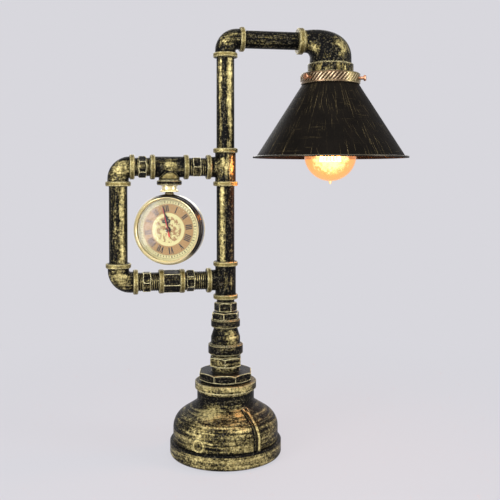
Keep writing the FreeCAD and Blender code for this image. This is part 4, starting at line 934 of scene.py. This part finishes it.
def dress_all():
    """Give every CAD node its finish."""
    uprights = (("upright", COLUMN_X), ("level", TOP_Z), ("level", BOTTOM_Z), ("level", ARM_Z))
    top = TOP_Z * 1000.0
    bottom = BOTTOM_Z * 1000.0
    left = LEFT_X * 1000.0
    dress(pipe_finish("rubbed_upper_tee", "z", -0.05, uprights, (), ((1.0, top, 18.0, 0.22),)), "upper_tee")
    dress(pipe_finish("rubbed_lower_tee", "z", -0.12, uprights, (), ((5.0, bottom, 17.0, 0.20),)),
          "lower_tee")
    dress(pipe_finish("rubbed_arm_elbow", "x", -0.08, (("upright", COLUMN_X), ("level", ARM_Z)), (),
                      ((-1.0, ARM_Z * 1000.0 - 2.0, 18.0, 0.22),)), "arm_elbow")
    dress(pipe_finish("rubbed_upper_pipe", "z", -0.08, (), ((4.0, 6.5, 0.27), (-7.5, 3.0, 0.20))),
          "column_pipe_upper")
    dress(pipe_finish("rubbed_lower_pipe", "z", -0.10, (), ((-5.5, 5.5, 0.30),)), "column_pipe_lower")
    dress(pipe_finish("rubbed_left_pipe", "z", -0.07, (), ((left + 4.5, 5.0, 0.25), (left - 3.0, 5.0, 0.08))),
          "left_pipe")
    dress(pipe_finish("rubbed_arm_pipe", "x", -0.08, ()), "arm_pipe")
    elbows = (("upright", LEFT_X), ("level", TOP_Z), ("level", BOTTOM_Z))
    dress(pipe_finish("rubbed_top_elbow", "x", -0.05, elbows, (), ((left + 2.0, top - 3.0, 21.0, 0.22),)),
          "top_elbow")
    dress(pipe_finish("rubbed_bottom_elbow", "x", -0.05, elbows, (),
                      ((left + 1.0, bottom + 2.0, 20.0, 0.20),)), "bottom_elbow")
    dress(pipe_finish("rubbed_clock_tee", "x", -0.13, (("level", TOP_Z),), (),
                      ((CLOCK_X * 1000.0, top + 2.0, 15.0, 0.24),), top - 13.5), "clock_tee")
    dress(pipe_finish("rubbed_coupling", "x", -0.10, (("level", BOTTOM_Z),)), "hex_coupling")
    dress(pipe_finish("rubbed_top_nipples", "x", -0.10, (("level", TOP_Z),), (),
                      ((left + 24.0, top, 6.0, 0.22),), hexed=True), "top_nipple_inner", "top_nipple_outer")
    dress(pipe_finish("rubbed_bottom_nipples", "x", -0.07, (("level", BOTTOM_Z),), hexed=True),
          "bottom_nipple_inner", "bottom_nipple_outer")
    dress(pipe_finish("rubbed_octagon", "round", -0.14, ()), "octagon_bushing")
    dress(pipe_finish("rubbed_lower_nipple", "round", 0.02, ()), "lower_nipple")
    dress(pipe_finish("rubbed_reducer", "round", -0.10, (), (), ((8.0, 140.0, 17.0, 0.22),)), "bell_reducer")
    dress(pipe_finish("rubbed_stack", "round", -0.10, ()), "hex_bushing", "column_nipple")
    dress(drop_elbow_finish(), "drop_elbow")
    dress(base_finish(), "base_casting")
    dress(shade_finish(), "lamp_shade")
    knurled = gallery_finish("knurled_gallery", True)
    dress(knurled, "shade_gallery")
    gallery_knurl(knurled)
    dress(gallery_finish("copper_brass", False), "clock_hanger")
    dress(satin("copper_screw", (0.42, 0.19, 0.10), (0.58, 0.30, 0.18), 0.3, 0.9),
          "thumbscrew_1", "thumbscrew_2", "thumbscrew_3")
    dress(polished_gold(), "clock_back", "clock_pendant")
    dress(polished_gold("polished_rim", True), "clock_bezel", "clock_case")
    dress(dial_finish(), "clock_dial")
    dress(clear("watch_crystal", (0.985, 0.985, 0.98), 1.42, soft=0.12), "clock_crystal")
    dress(satin("hand_lacquer", (0.006, 0.006, 0.007), (0.014, 0.014, 0.015), 0.35),
          "hour_hand", "minute_hand")
    dress(satin("hand_red", (0.55, 0.012, 0.012), (0.72, 0.03, 0.02), 0.4), "second_hand")
    dress(satin("black_moulding", (0.012, 0.012, 0.013), (0.028, 0.028, 0.030), 0.45), "shade_ring",
          "socket_body", "clock_movement", "set_knob", "cord_bushing")
    dress(satin("foot_rubber", (0.012, 0.012, 0.012), (0.03, 0.03, 0.03), 0.75, 0.0, 1.2, 0.0003), "foot_pad")
    dress(satin("lead_sheath", (0.02, 0.02, 0.02), (0.04, 0.04, 0.04), 0.6),
          "column_lead", "arm_lead", "head_lead")
    dress(satin("terminal_nylon", (0.66, 0.65, 0.60), (0.78, 0.77, 0.72), 0.5), "terminal_block")
    dress(satin("zinc_plate", (0.36, 0.37, 0.39), (0.52, 0.53, 0.55), 0.35, 0.9),
          "base_cover", "cover_screws", "holder_bridge", "holder_nipple")
    dress(satin("contact_brass", (0.62, 0.44, 0.16), (0.78, 0.60, 0.28), 0.28, 1.0), "socket_shell",
          "socket_contact", "bulb_cap", "pendant_nut")
    dress(satin("black_glass", (0.006, 0.006, 0.008), (0.02, 0.018, 0.02), 0.12), "bulb_insulator")
    dress(satin("solder_dot", (0.40, 0.40, 0.42), (0.55, 0.55, 0.57), 0.4, 0.9), "bulb_contact")
    dress(clear("stem_glass", (0.95, 0.90, 0.82), 1.4, (1.0, 0.6, 0.25), 0.3), "bulb_stem")
    dress(lit_glass(), "bulb_glass")


def card(name, at, size, strength, aim, colour=(1.0, 1.0, 1.0)):
    """Soft studio light that faces its aim."""
    light = bpy.data.lights.new(name, "AREA")
    light.shape = "RECTANGLE"
    light.size, light.size_y = size
    light.energy = strength
    light.color = colour
    lamp = bpy.data.objects.new(name, light)
    lamp.location = at
    lamp.rotation_euler = (Vector(aim) - Vector(at)).to_track_quat("-Z", "Y").to_euler()
    bpy.context.scene.collection.objects.link(lamp)


def bulb_light():
    """The bulb's own warm light, which the shade holds down."""
    light = bpy.data.lights.new("bulb_light", "POINT")
    light.energy = 1.6
    light.color = (1.0, 0.42, 0.12)
    light.shadow_soft_size = 0.02
    lamp = bpy.data.objects.new("bulb_light", light)
    lamp.location = (SHADE_X, 0.0, BULB_LOW + 0.022)
    bpy.context.scene.collection.objects.link(lamp)


def studio():
    """Pale floor and world that the camera sees as one flat colour, and soft lights round the lamp."""
    recipe = Recipe("studio_floor")
    place = recipe.mm()
    lit = recipe.node("ShaderNodeBsdfDiffuse")
    recipe.put(lit.inputs[0], recipe.blend(recipe.noise(place, 0.002, 2.0), (0.60, 0.593, 0.632),
                                           (0.62, 0.613, 0.653)))
    flat = recipe.node("ShaderNodeEmission")
    recipe.put(flat.inputs[0], BACKDROP)
    away = recipe.vector("LENGTH", place)
    share = recipe.step(away, 150.0, 700.0, 0.82, 1.0)
    mixed = recipe.node("ShaderNodeMixShader")
    recipe.put(mixed.inputs[0], recipe.times(seen(recipe.tree), share))
    recipe.put(mixed.inputs[1], lit.outputs[0])
    recipe.put(mixed.inputs[2], flat.outputs[0])
    recipe.tree.nodes.remove(recipe.shader)
    recipe.put(recipe.surface, mixed.outputs[0])
    bm = bmesh.new()
    bmesh.ops.create_grid(bm, x_segments=1, y_segments=1, size=40.0)
    mesh = bpy.data.meshes.new("studio_floor")
    bm.to_mesh(mesh)
    bm.free()
    mesh.materials.append(recipe.material)
    floor = bpy.data.objects.new("studio_floor", mesh)
    bpy.context.scene.collection.objects.link(floor)

    world = bpy.data.worlds.new("studio_world")
    world.use_nodes = True
    tree = world.node_tree
    back = tree.nodes["Background"]
    back.inputs[0].default_value = (*BACKDROP, 1.0)
    level = tree.nodes.new("ShaderNodeMapRange")
    level.inputs["To Min"].default_value = 0.36
    level.inputs["To Max"].default_value = 1.0
    tree.links.new(seen(tree), level.inputs["Value"])
    tree.links.new(level.outputs[0], back.inputs[1])
    bpy.context.scene.world = world

    aim = (0.0, 0.0, 0.26)
    card("left_card", (-1.05, -0.85, 0.55), (0.55, 1.3), 17.0, aim)
    card("right_card", (1.15, -0.65, 0.50), (0.45, 1.3), 13.0, aim)
    card("front_card", (-0.35, -1.7, 0.95), (1.1, 1.1), 20.0, aim)
    card("top_card", (0.0, -0.25, 1.5), (1.0, 1.0), 4.0, aim)
    card("back_card", (0.2, 1.3, 0.9), (1.4, 0.7), 7.0, aim)
    bulb_light()


def seen(tree):
    """1 for rays that show the backdrop: straight from the camera, in a reflection or through glass."""
    ray = tree.nodes.new("ShaderNodeLightPath").outputs
    value = ray["Is Camera Ray"]
    for other in ("Is Glossy Ray", "Is Transmission Ray"):
        larger = tree.nodes.new("ShaderNodeMath")
        larger.operation = "MAXIMUM"
        tree.links.new(value, larger.inputs[0])
        tree.links.new(ray[other], larger.inputs[1])
        value = larger.outputs[0]
    return value


def camera():
    view = bpy.data.cameras.new("photo_camera")
    view.sensor_width = SENSOR
    view.lens = FOCAL_PX * SENSOR / FRAME_PX
    view.shift_y = (MIDDLE_PX - FRAME_PX / 2) / FRAME_PX
    view.clip_end = 200.0
    eye = bpy.data.objects.new("photo_camera", view)
    eye.location = CAMERA_AT
    eye.rotation_euler = (math.radians(90.0) - CAMERA_DOWN, 0.0, CAMERA_YAW)
    bpy.context.scene.collection.objects.link(eye)
    bpy.context.scene.camera = eye


dress_all()
dial_numerals()
dial_track()
hour_loops()
hand_cap()
pipe_threads()
shade_bead()
bulb_coil()
studio()
camera()
bpy.context.scene.view_settings.view_transform = "Standard"
